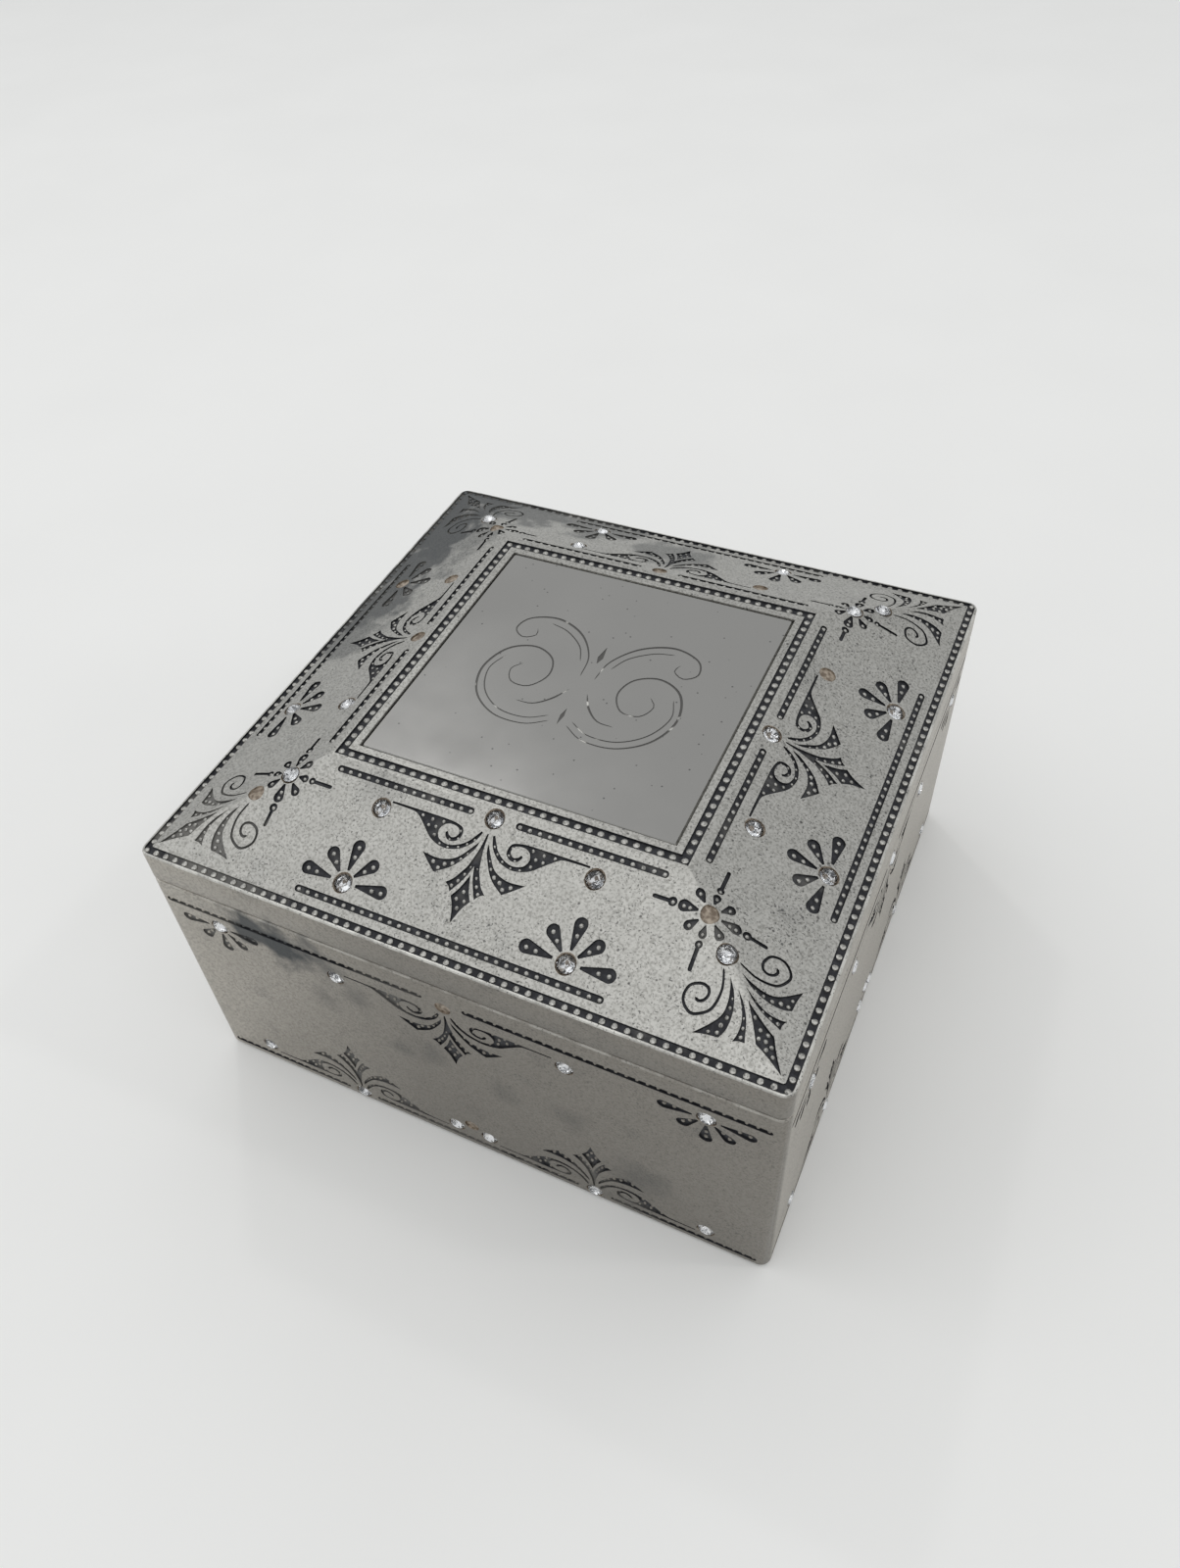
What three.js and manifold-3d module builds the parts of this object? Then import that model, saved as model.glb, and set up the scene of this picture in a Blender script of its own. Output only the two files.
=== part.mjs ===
// A square, hinged trinket box in cast zinc alloy with an antique pewter finish.
// The lid is a low hipped shell with a flat frame round a polished plate, and clear
// stones are set into the lid and the walls. Millimetres, +Z up, front towards -Y.
// The origin is on the supporting surface, under the middle of the whole object.

import * as THREE from 'three';
import { mergeVertices } from 'three/addons/utils/BufferGeometryUtils.js';
import Module from 'manifold-3d';

// ---------------------------------------------------------------- driving dimensions

const WIDTH = 110;              // outside width and depth of the body and the lid
const HALF = WIDTH / 2;
const CORNER_RADIUS = 1.9;      // vertical corners
const WALL = 2;                 // casting wall
const GAP = 0.3;                // clearance between touching pieces

const BODY_BOTTOM = 0.3;        // underside of the body's rim
const FLOOR_TOP = 3.1;          // inside face of the body's floor
const SEAM = 51.7;              // height of the joint between body and lid
const RIM = 58.3;               // height of the lid's outer top edge
const PLATEAU = 67.5;           // height of the lid's flat frame
const EDGE_SOFTENING = 0.4;     // small bevels on the castings' edges
const FOOT_SOFTENING = 0.8;     // larger bevel round the body's foot
const OVER = 0.5;               // how far a cutting shape runs past the surface it trims

const SLOPE = 0.41;             // rise of the lid's four faces for each mm inwards
const SLOPE_START = 1.17;       // where they start, inwards from the outside
const SLOPE_END = SLOPE_START + (PLATEAU - RIM) / SLOPE;
const SLOPE_ANGLE = Math.atan(SLOPE);

const PLATE_OPENING_HALF = 27.9;
const PLATE_HALF = 27.55;
const PLATE_THICKNESS = 1.2;
const PLATE_RECESS = 1.7;       // depth of the opening that the plate lies in
const PLATE_SEAT = 2.45;        // metal left under the opening

const FELT_THICKNESS = 1;
const FELT_HALF = 51.2;

const LINER = 1.5;              // velvet-covered card
const LINER_TOP = SEAM + 3;     // the card stands proud and guides the lid
const PAD_THICKNESS = 3;
const LID_PAD_HALF = 49;
const LID_PAD_BOTTOM = 56.3;
const LID_PAD_THICKNESS = 1.4;

const HINGE_KNUCKLES = 5;
const KNUCKLE_LENGTH = 7;
const KNUCKLE_PITCH = KNUCKLE_LENGTH + 0.4;
const KNUCKLE_RADIUS = 1.5;
const KNUCKLE_BORE = 0.9;
const PIN_RADIUS = 0.65;
const PIN_HEAD_RADIUS = 1.1;
const PIN_HEAD_LENGTH = 0.6;
const LEAF = 0.8;               // leaf sheet
const LEAF_LOW = 0.25;          // the leaf's nearest edge, off the axis
const BODY_LEAF_HEIGHT = 9;
const LID_LEAF_HEIGHT = 4.6;
const NOTCH_HALF_HEIGHT = 1.9;  // notch in both castings round the barrel
const RIVET_SPACING = 22;
const RIVET_SHANK = 0.6;
const RIVET_HEAD = 1.2;
const RIVET_HEAD_HEIGHT = 0.6;
const RIVET_DEPTH = 1.2;        // how far a rivet reaches into the casting

const STONE_RADIUS = 1.45;
const STONE_TABLE = 0.82;       // radius of the flat top facet
const STONE_CROWN = 0.6;
const STONE_GIRDLE = 0.12;
const STONE_PAVILION = 0.85;
const STONE_SINK = 0.25;        // how far the girdle lies under the metal's surface
const STONE_PROUD = STONE_CROWN - STONE_SINK;
const SOCKET_RADIUS = STONE_RADIUS + GAP;
const SOCKET_DEPTH = STONE_PAVILION + STONE_SINK + GAP;

const ROUND_STEPS = 16;         // sides of round hinge parts
const STONE_STEPS = 12;         // sides of stones and sockets

// Middle of the body: the hinge barrel stands out behind it, and the stones a little in front
const MIDDLE_Y = (STONE_PROUD - KNUCKLE_RADIUS) / 2;
const BACK = MIDDLE_Y + HALF;

// Stones on one lid face: sideways from its middle, then inwards from the edge
const FACE_STONES = {
  centre: [0, 22.15],
  tail_left: [-18.35, 18.5],
  tail_right: [18.35, 18.5],
  daisy_left: [-19, 6.4],
  daisy_right: [19, 6.4],
};
const STAR_INSET = 19;          // stone of the star on each lid corner, from both edges
const FAN_INSET = 14.75;        // stone at the root of the fan on each lid corner

// Stones on one wall: sideways from its middle, then down from the lid's edge
const WALL_STONES = {
  centre: [0, 12.3],
  tail_left: [-20.5, 16],
  tail_right: [20.5, 16],
  daisy_left: [-43.2, 14.3],
  daisy_right: [43.2, 14.3],
  low_middle: [0, 50.6],
  low_inner_left: [-3.3, 52.6],
  low_inner_right: [3.3, 52.6],
  low_outer_left: [-44, 52.6],
  low_outer_right: [44, 52.6],
  low_root_left: [-23.65, 55.7],
  low_root_right: [23.65, 55.7],
};

// The walls whose stones are modelled here
const STONED_WALLS = ['front', 'right'];

// Sockets whose stone has been lost
const LOST_STONES = new Set([
  'stone_corner_front_right_star',
  'stone_corner_front_left_fan',
  'stone_corner_back_left_star',
  'stone_right_tail_right',
  'stone_left_centre',
  'stone_left_tail_left',
  'stone_left_daisy_left',
  'stone_back_centre',
  'stone_back_tail_left',
  'stone_wall_front_centre',
  'stone_wall_front_low_middle',
]);

// ---------------------------------------------------------------- materials

const finish = (color, roughness, metalness) => new THREE.MeshStandardMaterial({ color, roughness, metalness });
const FINISHES = {
  pewter: finish(0x8f8f8a, 0.5, 0.9),
  polishedPlate: finish(0x8b8b89, 0.2, 1),
  felt: finish(0x1d1d20, 0.95, 0),
  velvet: finish(0x202026, 0.95, 0),
  hingeSteel: finish(0x9a988f, 0.35, 1),
  crystal: finish(0xe6ecf2, 0.05, 0),
};

// ---------------------------------------------------------------- solids

const wasm = await Module();
wasm.setup();

/** The geometry as a manifold solid, with shared corners merged and flat triangles dropped. */
function solid(geometry) {
  const bare = geometry.index ? geometry.toNonIndexed() : geometry.clone();
  bare.deleteAttribute('normal');
  bare.deleteAttribute('uv');
  const merged = mergeVertices(bare, 1e-4);
  const corners = merged.index.array;
  const kept = [];
  for (let i = 0; i < corners.length; i += 3) {
    const [a, b, c] = corners.slice(i, i + 3);
    if (a !== b && b !== c && c !== a) kept.push(a, b, c);
  }
  return new wasm.Manifold(new wasm.Mesh({
    numProp: 3,
    vertProperties: new Float32Array(merged.attributes.position.array),
    triVerts: new Uint32Array(kept),
  }));
}

/** A manifold solid as a three.js geometry. */
function geometryOf(body) {
  const mesh = body.getMesh();
  const geometry = new THREE.BufferGeometry();
  geometry.setAttribute('position', new THREE.BufferAttribute(new Float32Array(mesh.vertProperties), 3));
  geometry.setIndex(new THREE.BufferAttribute(new Uint32Array(mesh.triVerts), 1));
  geometry.computeVertexNormals();
  return geometry;
}

/** A box between two corners. */
function block(low, high) {
  const size = high.map((value, i) => value - low[i]);
  const geometry = new THREE.BoxGeometry(...size);
  geometry.translate(...low.map((value, i) => value + size[i] / 2));
  return geometry;
}

/** A box centred on the body in plan, reaching the given half width. */
function slab(half, bottom, top) {
  return block([-half, MIDDLE_Y - half, bottom], [half, MIDDLE_Y + half, top]);
}

/** A shape with a square plan: each profile entry is its half width and its height. */
function squareTurned(profile) {
  const points = profile.map(([half, z]) => new THREE.Vector2(half * Math.SQRT2, z));
  const geometry = new THREE.LatheGeometry(points, 4);
  geometry.rotateX(Math.PI / 2);
  geometry.rotateZ(Math.PI / 4);
  geometry.translate(0, MIDDLE_Y, 0);
  return geometry;
}

/** The box's outline with its rounded corners, between two heights. */
function roundedPrism(bottom, top) {
  const straight = HALF - CORNER_RADIUS;
  const outline = new THREE.Shape();
  outline.moveTo(straight, -HALF);
  outline.absarc(straight, -straight, CORNER_RADIUS, -Math.PI / 2, 0);
  outline.absarc(straight, straight, CORNER_RADIUS, 0, Math.PI / 2);
  outline.absarc(-straight, straight, CORNER_RADIUS, Math.PI / 2, Math.PI);
  outline.absarc(-straight, -straight, CORNER_RADIUS, Math.PI, 1.5 * Math.PI);
  const geometry = new THREE.ExtrudeGeometry(outline, { depth: top - bottom, bevelEnabled: false, curveSegments: 4 });
  geometry.translate(0, MIDDLE_Y, bottom);
  return geometry;
}

/** A cylinder along X through the hinge axis, between two places. */
function hingeRod(radius, from, to) {
  const geometry = new THREE.CylinderGeometry(radius, radius, to - from, ROUND_STEPS);
  geometry.rotateZ(Math.PI / 2);
  geometry.translate((from + to) / 2, BACK, SEAM);
  return geometry;
}

// ---------------------------------------------------------------- stone places

const FACES = { front: 0, right: Math.PI / 2, back: Math.PI, left: -Math.PI / 2 };
const lidHeight = (inset) => RIM + SLOPE * (inset - SLOPE_START);

/** Where a stone sits: its point on the metal's surface and the way it faces. */
function seat(x, y, z, direction) {
  const turn = new THREE.Quaternion().setFromUnitVectors(new THREE.Vector3(0, 0, 1), direction.normalize());
  return new THREE.Matrix4().compose(new THREE.Vector3(x, y, z), turn, new THREE.Vector3(1, 1, 1));
}

/** The turn that carries the front of the body round to another side. */
function turnTo(angle) {
  return new THREE.Matrix4().makeTranslation(0, MIDDLE_Y, 0).multiply(new THREE.Matrix4().makeRotationZ(angle));
}

/** The seats of every stone on the lid, by name. */
function lidSeats() {
  const seats = {};
  for (const [side, angle] of Object.entries(FACES)) {
    const turned = turnTo(angle);
    for (const [place, [across, inset]] of Object.entries(FACE_STONES)) {
      const outwards = new THREE.Vector3(0, -Math.sin(SLOPE_ANGLE), Math.cos(SLOPE_ANGLE));
      const local = seat(across, inset - HALF, lidHeight(inset), outwards);
      seats[`stone_${side}_${place}`] = turned.clone().multiply(local);
    }
  }
  const corners = { front_left: 0, front_right: Math.PI / 2, back_right: Math.PI, back_left: -Math.PI / 2 };
  for (const [corner, angle] of Object.entries(corners)) {
    const turned = turnTo(angle);
    for (const [place, inset] of Object.entries({ star: STAR_INSET, fan: FAN_INSET })) {
      const outwards = new THREE.Vector3(-SLOPE / 2, -SLOPE / 2, 1);
      const local = seat(inset - HALF, inset - HALF, lidHeight(inset), outwards);
      seats[`stone_corner_${corner}_${place}`] = turned.clone().multiply(local);
    }
  }
  return seats;
}

/** The seats of the stones on the walls that have them, by name. */
function wallSeats() {
  const seats = {};
  for (const side of STONED_WALLS) {
    for (const [place, [across, depth]] of Object.entries(WALL_STONES)) {
      const local = seat(across, -HALF, RIM - depth, new THREE.Vector3(0, -1, 0));
      seats[`stone_wall_${side}_${place}`] = turnTo(FACES[side]).multiply(local);
    }
  }
  return seats;
}

/** The drilled sockets of the given seats, as cutting solids. */
function sockets(seats) {
  return Object.values(seats).map((place) => {
    const drill = new THREE.CylinderGeometry(SOCKET_RADIUS, SOCKET_RADIUS, 2 * SOCKET_DEPTH, STONE_STEPS);
    drill.rotateX(Math.PI / 2);
    return solid(drill.applyMatrix4(place));
  });
}

// ---------------------------------------------------------------- castings

const LID_SEATS = lidSeats();
const WALL_SEATS = wallSeats();
const HINGE_HALF = (HINGE_KNUCKLES * KNUCKLE_PITCH) / 2;
const NOTCH_HALF = HINGE_HALF + GAP + PIN_HEAD_LENGTH + GAP;
const RIVET_PLACES = { left: -RIVET_SPACING / 2, right: RIVET_SPACING / 2 };
const BODY_RIVET_Z = SEAM - 5.5;
const LID_RIVET_Z = SEAM + 3.2;
const LEAF_FACE = BACK - WALL - GAP;

/** The notch for the hinge barrel and the blind rivet holes beside it. */
function hingeCuts(rivetZ) {
  const cuts = [solid(block(
    [-NOTCH_HALF, BACK - WALL - 1, SEAM - NOTCH_HALF_HEIGHT],
    [NOTCH_HALF, BACK + 1, SEAM + NOTCH_HALF_HEIGHT],
  ))];
  for (const x of Object.values(RIVET_PLACES)) {
    const depth = RIVET_DEPTH + GAP;
    const hole = new THREE.CylinderGeometry(RIVET_SHANK + GAP, RIVET_SHANK + GAP, 2 * depth, STONE_STEPS);
    hole.translate(x, BACK - WALL, rivetZ);
    cuts.push(solid(hole));
  }
  return cuts;
}

/** The open body: four walls and a floor, recessed underneath for the felt. */
function bodyCasting() {
  const top = SEAM - GAP / 2;
  const outside = solid(squareTurned([
    [0, BODY_BOTTOM], [HALF - FOOT_SOFTENING, BODY_BOTTOM], [HALF + OVER, BODY_BOTTOM + FOOT_SOFTENING + OVER],
    [HALF + OVER, top - EDGE_SOFTENING - OVER], [HALF - EDGE_SOFTENING, top], [0, top],
  ])).intersect(solid(roundedPrism(0, top + 1)));
  const hollow = solid(slab(HALF - WALL, FLOOR_TOP, top + 1));
  const feltRecess = solid(slab(FELT_HALF + GAP, 0, FELT_THICKNESS + GAP));
  return [hollow, feltRecess, ...hingeCuts(BODY_RIVET_Z), ...sockets(WALL_SEATS)]
    .reduce((left, cut) => left.subtract(cut), outside);
}

/** The hipped lid shell with its side band and the opening for the plate. */
function lidCasting() {
  const bottom = SEAM + GAP / 2;
  const outside = solid(squareTurned([
    [0, bottom], [HALF - EDGE_SOFTENING, bottom], [HALF + OVER, bottom + EDGE_SOFTENING + OVER],
    [HALF + OVER, RIM - EDGE_SOFTENING - OVER], [HALF - EDGE_SOFTENING, RIM], [HALF - SLOPE_START, RIM],
    [HALF - SLOPE_END, PLATEAU], [0, PLATEAU],
  ])).intersect(solid(roundedPrism(bottom - 1, PLATEAU + 1)));
  const drop = WALL / Math.cos(SLOPE_ANGLE);
  const ceiling = PLATEAU - PLATE_RECESS - PLATE_SEAT;
  const ceilingInset = SLOPE_START + (ceiling - RIM + drop) / SLOPE;
  const hollow = solid(squareTurned([
    [0, bottom - 1], [HALF - WALL, bottom - 1], [HALF - WALL, lidHeight(WALL) - drop],
    [HALF - ceilingInset, ceiling], [0, ceiling],
  ]));
  const opening = solid(slab(PLATE_OPENING_HALF, PLATEAU - PLATE_RECESS, PLATEAU + 1));
  return [hollow, opening, ...hingeCuts(LID_RIVET_Z), ...sockets(LID_SEATS)]
    .reduce((left, cut) => left.subtract(cut), outside);
}

// ---------------------------------------------------------------- hinge

/** A leaf with its knuckles: up is 1 for the lid's leaf and -1 for the body's. */
function hingeLeaf(up, first, height, rivetZ) {
  const across = (from, to, low, high) => {
    const ends = [SEAM + up * low, SEAM + up * high].sort((a, b) => a - b);
    return (start, end) => solid(block([start, from, ends[0]], [end, to, ends[1]]));
  };
  let leaf = across(LEAF_FACE - LEAF, LEAF_FACE, LEAF_LOW, height)(-HINGE_HALF, HINGE_HALF);
  const neck = across(LEAF_FACE - LEAF / 2, BACK - (KNUCKLE_RADIUS + KNUCKLE_BORE) / 2, LEAF_LOW, LEAF_LOW + LEAF);
  for (let i = first; i < HINGE_KNUCKLES; i += 2) {
    const start = -HINGE_HALF + i * KNUCKLE_PITCH + (KNUCKLE_PITCH - KNUCKLE_LENGTH) / 2;
    const end = start + KNUCKLE_LENGTH;
    const knuckle = solid(hingeRod(KNUCKLE_RADIUS, start, end)).add(neck(start, end));
    leaf = leaf.add(knuckle.subtract(solid(hingeRod(KNUCKLE_BORE, start - 1, end + 1))));
  }
  for (const x of Object.values(RIVET_PLACES)) {
    const hole = new THREE.CylinderGeometry(RIVET_SHANK + GAP, RIVET_SHANK + GAP, 4 * LEAF, STONE_STEPS);
    hole.translate(x, LEAF_FACE, rivetZ);
    leaf = leaf.subtract(solid(hole));
  }
  return geometryOf(leaf);
}

/** The hinge pin with a peened head at each end. */
function hingePin() {
  const reach = HINGE_HALF + GAP;
  const profile = [
    [0, -reach - PIN_HEAD_LENGTH], [PIN_HEAD_RADIUS * 0.7, -reach - PIN_HEAD_LENGTH],
    [PIN_HEAD_RADIUS, -reach - PIN_HEAD_LENGTH / 2], [PIN_HEAD_RADIUS, -reach], [PIN_RADIUS, -reach],
    [PIN_RADIUS, reach], [PIN_HEAD_RADIUS, reach], [PIN_HEAD_RADIUS, reach + PIN_HEAD_LENGTH / 2],
    [PIN_HEAD_RADIUS * 0.7, reach + PIN_HEAD_LENGTH], [0, reach + PIN_HEAD_LENGTH],
  ].map(([radius, along]) => new THREE.Vector2(radius, along));
  const geometry = new THREE.LatheGeometry(profile, ROUND_STEPS);
  geometry.rotateZ(-Math.PI / 2);
  geometry.translate(0, BACK, SEAM);
  return geometry;
}

/** A round-head rivet whose shank points to the back. */
function rivet() {
  const start = GAP;
  const profile = [
    [0, -start - RIVET_HEAD_HEIGHT], [RIVET_HEAD * 0.55, -start - RIVET_HEAD_HEIGHT * 0.9],
    [RIVET_HEAD, -start], [RIVET_SHANK, -start],
    [RIVET_SHANK, LEAF + GAP + RIVET_DEPTH], [0, LEAF + GAP + RIVET_DEPTH],
  ].map(([radius, along]) => new THREE.Vector2(radius, along));
  return new THREE.LatheGeometry(profile, STONE_STEPS);
}

/** A round faceted stone, seated at the origin and facing up. */
function stone() {
  const profile = [
    [0, -STONE_PAVILION], [STONE_RADIUS, 0], [STONE_RADIUS, STONE_GIRDLE],
    [STONE_TABLE, STONE_CROWN], [0, STONE_CROWN],
  ].map(([radius, height]) => new THREE.Vector2(radius, height - STONE_SINK));
  const geometry = new THREE.LatheGeometry(profile, STONE_STEPS);
  geometry.rotateX(Math.PI / 2);
  return geometry;
}

// ---------------------------------------------------------------- assembly

const group = new THREE.Group();

/** Adds one named mesh to the box. */
function place(name, geometry, material, matrix) {
  const mesh = new THREE.Mesh(geometry, material);
  mesh.name = name;
  if (matrix) matrix.decompose(mesh.position, mesh.quaternion, mesh.scale);
  group.add(mesh);
}

/** Adds the stones that are still in their sockets. */
function placeStones(seats) {
  for (const [name, matrix] of Object.entries(seats)) {
    if (!LOST_STONES.has(name)) place(name, stone(), FINISHES.crystal, matrix);
  }
}

place('body_casting', geometryOf(bodyCasting()), FINISHES.pewter);
place('base_felt', slab(FELT_HALF, 0, FELT_THICKNESS), FINISHES.felt);

// The lining: card covered in velvet, on the floor and on the four walls
const LINER_BOTTOM = FLOOR_TOP + GAP;
const OUTER = HALF - WALL - GAP;
const INNER = OUTER - LINER;
const FRONT_Y = MIDDLE_Y - OUTER;
const BACK_LINER_Y = LEAF_FACE - LEAF - GAP - RIVET_HEAD_HEIGHT - GAP;
const SIDE_FROM = FRONT_Y + LINER + GAP;
const SIDE_TO = BACK_LINER_Y - LINER - GAP;
place('liner_front', block([-OUTER, FRONT_Y, LINER_BOTTOM], [OUTER, FRONT_Y + LINER, LINER_TOP]), FINISHES.velvet);
place('liner_back', block([-OUTER, BACK_LINER_Y - LINER, LINER_BOTTOM], [OUTER, BACK_LINER_Y, LINER_TOP]), FINISHES.velvet);
place('liner_left', block([-OUTER, SIDE_FROM, LINER_BOTTOM], [-INNER, SIDE_TO, LINER_TOP]), FINISHES.velvet);
place('liner_right', block([INNER, SIDE_FROM, LINER_BOTTOM], [OUTER, SIDE_TO, LINER_TOP]), FINISHES.velvet);
place('floor_pad', block(
  [-INNER + GAP, SIDE_FROM, LINER_BOTTOM],
  [INNER - GAP, SIDE_TO, LINER_BOTTOM + PAD_THICKNESS],
), FINISHES.velvet);

place('lid_casting', geometryOf(lidCasting()), FINISHES.pewter);
const PLATE_BOTTOM = PLATEAU - PLATE_RECESS + GAP;
place('engraved_plate', slab(PLATE_HALF, PLATE_BOTTOM, PLATE_BOTTOM + PLATE_THICKNESS), FINISHES.polishedPlate);
place('lid_pad', slab(LID_PAD_HALF, LID_PAD_BOTTOM, LID_PAD_BOTTOM + LID_PAD_THICKNESS), FINISHES.velvet);

place('hinge_leaf_body', hingeLeaf(-1, 0, BODY_LEAF_HEIGHT, BODY_RIVET_Z), FINISHES.hingeSteel);
place('hinge_leaf_lid', hingeLeaf(1, 1, LID_LEAF_HEIGHT, LID_RIVET_Z), FINISHES.hingeSteel);
place('hinge_pin', hingePin(), FINISHES.hingeSteel);
for (const [side, x] of Object.entries(RIVET_PLACES)) {
  const head = (z) => new THREE.Matrix4().makeTranslation(x, LEAF_FACE - LEAF, z);
  place(`rivet_body_${side}`, rivet(), FINISHES.hingeSteel, head(BODY_RIVET_Z));
  place(`rivet_lid_${side}`, rivet(), FINISHES.hingeSteel, head(LID_RIVET_Z));
}

placeStones(LID_SEATS);
placeStones(WALL_SEATS);

export default group;
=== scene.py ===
"""A square hinged trinket box in antique pewter, dressed for a studio picture.

The CAD model gives the sizes and places. This script builds the cast castings with their
sunk ornament, the polished plate, the cut stones and the velvet lining round it, gives each
its finish, and sets up the camera, the floor and the light. Lengths are in millimetres and
meshes are scaled to metres as they are finished.
"""

from __future__ import annotations

import logging
import math
from collections.abc import Callable, Iterable, Mapping, Sequence
from dataclasses import dataclass, field
from enum import Enum

import bmesh
import bpy
from bmesh.types import BMEdge, BMesh, BMFace, BMVert
from bpy.types import Material, Mesh, Node, NodeSocket, NodeTree, Object
from mathutils import Matrix, Vector

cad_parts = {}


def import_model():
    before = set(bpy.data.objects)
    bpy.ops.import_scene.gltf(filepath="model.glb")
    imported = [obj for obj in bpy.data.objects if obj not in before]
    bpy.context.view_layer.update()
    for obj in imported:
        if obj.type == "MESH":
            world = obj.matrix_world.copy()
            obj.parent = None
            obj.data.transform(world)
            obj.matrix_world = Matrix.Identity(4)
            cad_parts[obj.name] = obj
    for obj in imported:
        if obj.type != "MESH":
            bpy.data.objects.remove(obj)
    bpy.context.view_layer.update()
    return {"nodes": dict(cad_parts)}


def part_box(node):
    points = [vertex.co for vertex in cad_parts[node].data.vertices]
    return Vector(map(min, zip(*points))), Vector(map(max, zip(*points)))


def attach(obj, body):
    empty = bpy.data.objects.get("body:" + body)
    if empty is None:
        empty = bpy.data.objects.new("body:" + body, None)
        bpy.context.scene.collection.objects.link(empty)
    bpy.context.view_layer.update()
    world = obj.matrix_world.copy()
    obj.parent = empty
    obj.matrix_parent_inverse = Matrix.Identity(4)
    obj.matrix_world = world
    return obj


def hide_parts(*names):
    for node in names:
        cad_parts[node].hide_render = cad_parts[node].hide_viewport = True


LOG = logging.getLogger("trinket_box")

MM = 0.001
CURVE_STEP = 0.42
QUARTER_TURNS = 4

Point = tuple[float, float]
Stroke = Sequence[Point]
Loop = list[Vector]


class Side(Enum):
    """A side of the box, with the turn in degrees that carries the front round to it."""

    FRONT = 0
    RIGHT = 90
    BACK = 180
    LEFT = -90

    @property
    def turn(self) -> Matrix:
        """The rotation about the box's middle that carries the front to this side."""
        return Matrix.Rotation(math.radians(self.value), 4, "Z")


class Corner(Enum):
    """A corner of the box, with the turn in degrees that carries the front left one to it."""

    FRONT_LEFT = 0
    FRONT_RIGHT = 90
    BACK_RIGHT = 180
    BACK_LEFT = -90

    @property
    def turn(self) -> Matrix:
        """The rotation about the box's middle that carries the front left corner here."""
        return Matrix.Rotation(math.radians(self.value), 4, "Z")


class Slot(Enum):
    """The record's material slots."""

    PEWTER = "antique_pewter"
    PLATE = "polished_plate"
    HINGE = "hinge_steel"
    CRYSTAL = "crystal"
    VELVET = "velvet"
    FELT = "felt"


class Metal(Enum):
    """Which finish a casting's face has, by its place in the casting's material list."""

    WORN = 0
    BLACKENED = 1
    GLUED = 2


# ---------------------------------------------------------------- outlines


def smooth_through(points: Stroke, step: float = CURVE_STEP) -> Loop:
    """Points along a smooth curve through the given ones.

    Args:
        points: The points that the curve passes through.
        step: The rough distance between the points returned, in mm.

    Returns:
        The curve's points, the first and last given ones among them.
    """
    knots = [Vector(point) for point in points]
    if len(knots) == 2:
        return knots
    ends = [2 * knots[0] - knots[1], *knots, 2 * knots[-1] - knots[-2]]
    curve = [knots[0]]
    for before, start, end, after in zip(ends, ends[1:], ends[2:], ends[3:]):
        count = max(1, round((end - start).length / step))
        for i in range(1, count + 1):
            t = i / count
            curve.append(
                0.5
                * (
                    2 * start
                    + (end - before) * t
                    + (2 * before - 5 * start + 4 * end - after) * t**2
                    + (3 * start - before - 3 * end + after) * t**3
                )
            )
    return curve


def outline(strokes: Sequence[Stroke], step: float = CURVE_STEP) -> Loop:
    """A closed outline of smooth strokes that meet at sharp corners.

    Args:
        strokes: The strokes in order. Each one starts where the one before it ends.
        step: The rough distance between the points returned, in mm.

    Returns:
        The outline's points, with no point given twice.
    """
    loop: Loop = []
    start = strokes[-1][-1]
    for stroke in strokes:
        whole = stroke if stroke[0] == start else (start, *stroke)
        loop.extend(smooth_through(whole, step)[:-1])
        start = stroke[-1]
    return loop


def mirrored(loop: Iterable[Vector]) -> Loop:
    """The loop seen in a mirror on the Y axis."""
    return [Vector((-point.x, point.y)) for point in loop]


def two_halves(strokes: Sequence[Stroke]) -> Loop:
    """A closed outline from its right half, which starts and ends beside the Y axis."""
    half: Loop = [Vector(strokes[0][0])]
    for stroke in strokes:
        half.extend(smooth_through(stroke)[1:])
    other = mirrored(reversed(half))
    ends = (half[0], half[-1])
    return half + [point for point in other if all((point - end).length > 1e-3 for end in ends)]


def arc(centre: Vector, radius: float, start: float, end: float, steps: int) -> Loop:
    """Points along a round stretch between two angles in radians, both ends included."""
    angles = [start + (end - start) * i / steps for i in range(steps + 1)]
    return [centre + radius * Vector((math.cos(a), math.sin(a))) for a in angles]


def circle(centre: Vector, radius: float, steps: int) -> Loop:
    """Points round a circle."""
    return arc(centre, radius, 0, math.tau * (1 - 1 / steps), steps - 1)


def rounded_square(half: float, radius: float, steps: int = 6) -> Loop:
    """A square round the origin with round corners.

    Args:
        half: Half the square's width.
        radius: The corners' radius, or 0 for sharp ones.
        steps: The number of straight pieces in each round corner.

    Returns:
        The square's points, counter-clockwise.
    """
    if radius == 0:
        return [Vector(p) for p in ((half, -half), (half, half), (-half, half), (-half, -half))]
    loop: Loop = []
    for quarter in range(QUARTER_TURNS):
        turn = Matrix.Rotation(quarter * math.pi / 2, 2)
        centre = Vector((half - radius, half - radius))
        loop.extend(turn @ point for point in arc(centre, radius, 0, math.pi / 2, steps))
    return loop


def bar(start: float, end: float, y: float, width: float) -> Loop:
    """A straight slot with round ends, along X."""
    half = width / 2
    right = arc(Vector((end - half, y)), half, -math.pi / 2, math.pi / 2, 6)
    left = arc(Vector((start + half, y)), half, math.pi / 2, 1.5 * math.pi, 6)
    return right + left


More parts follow.
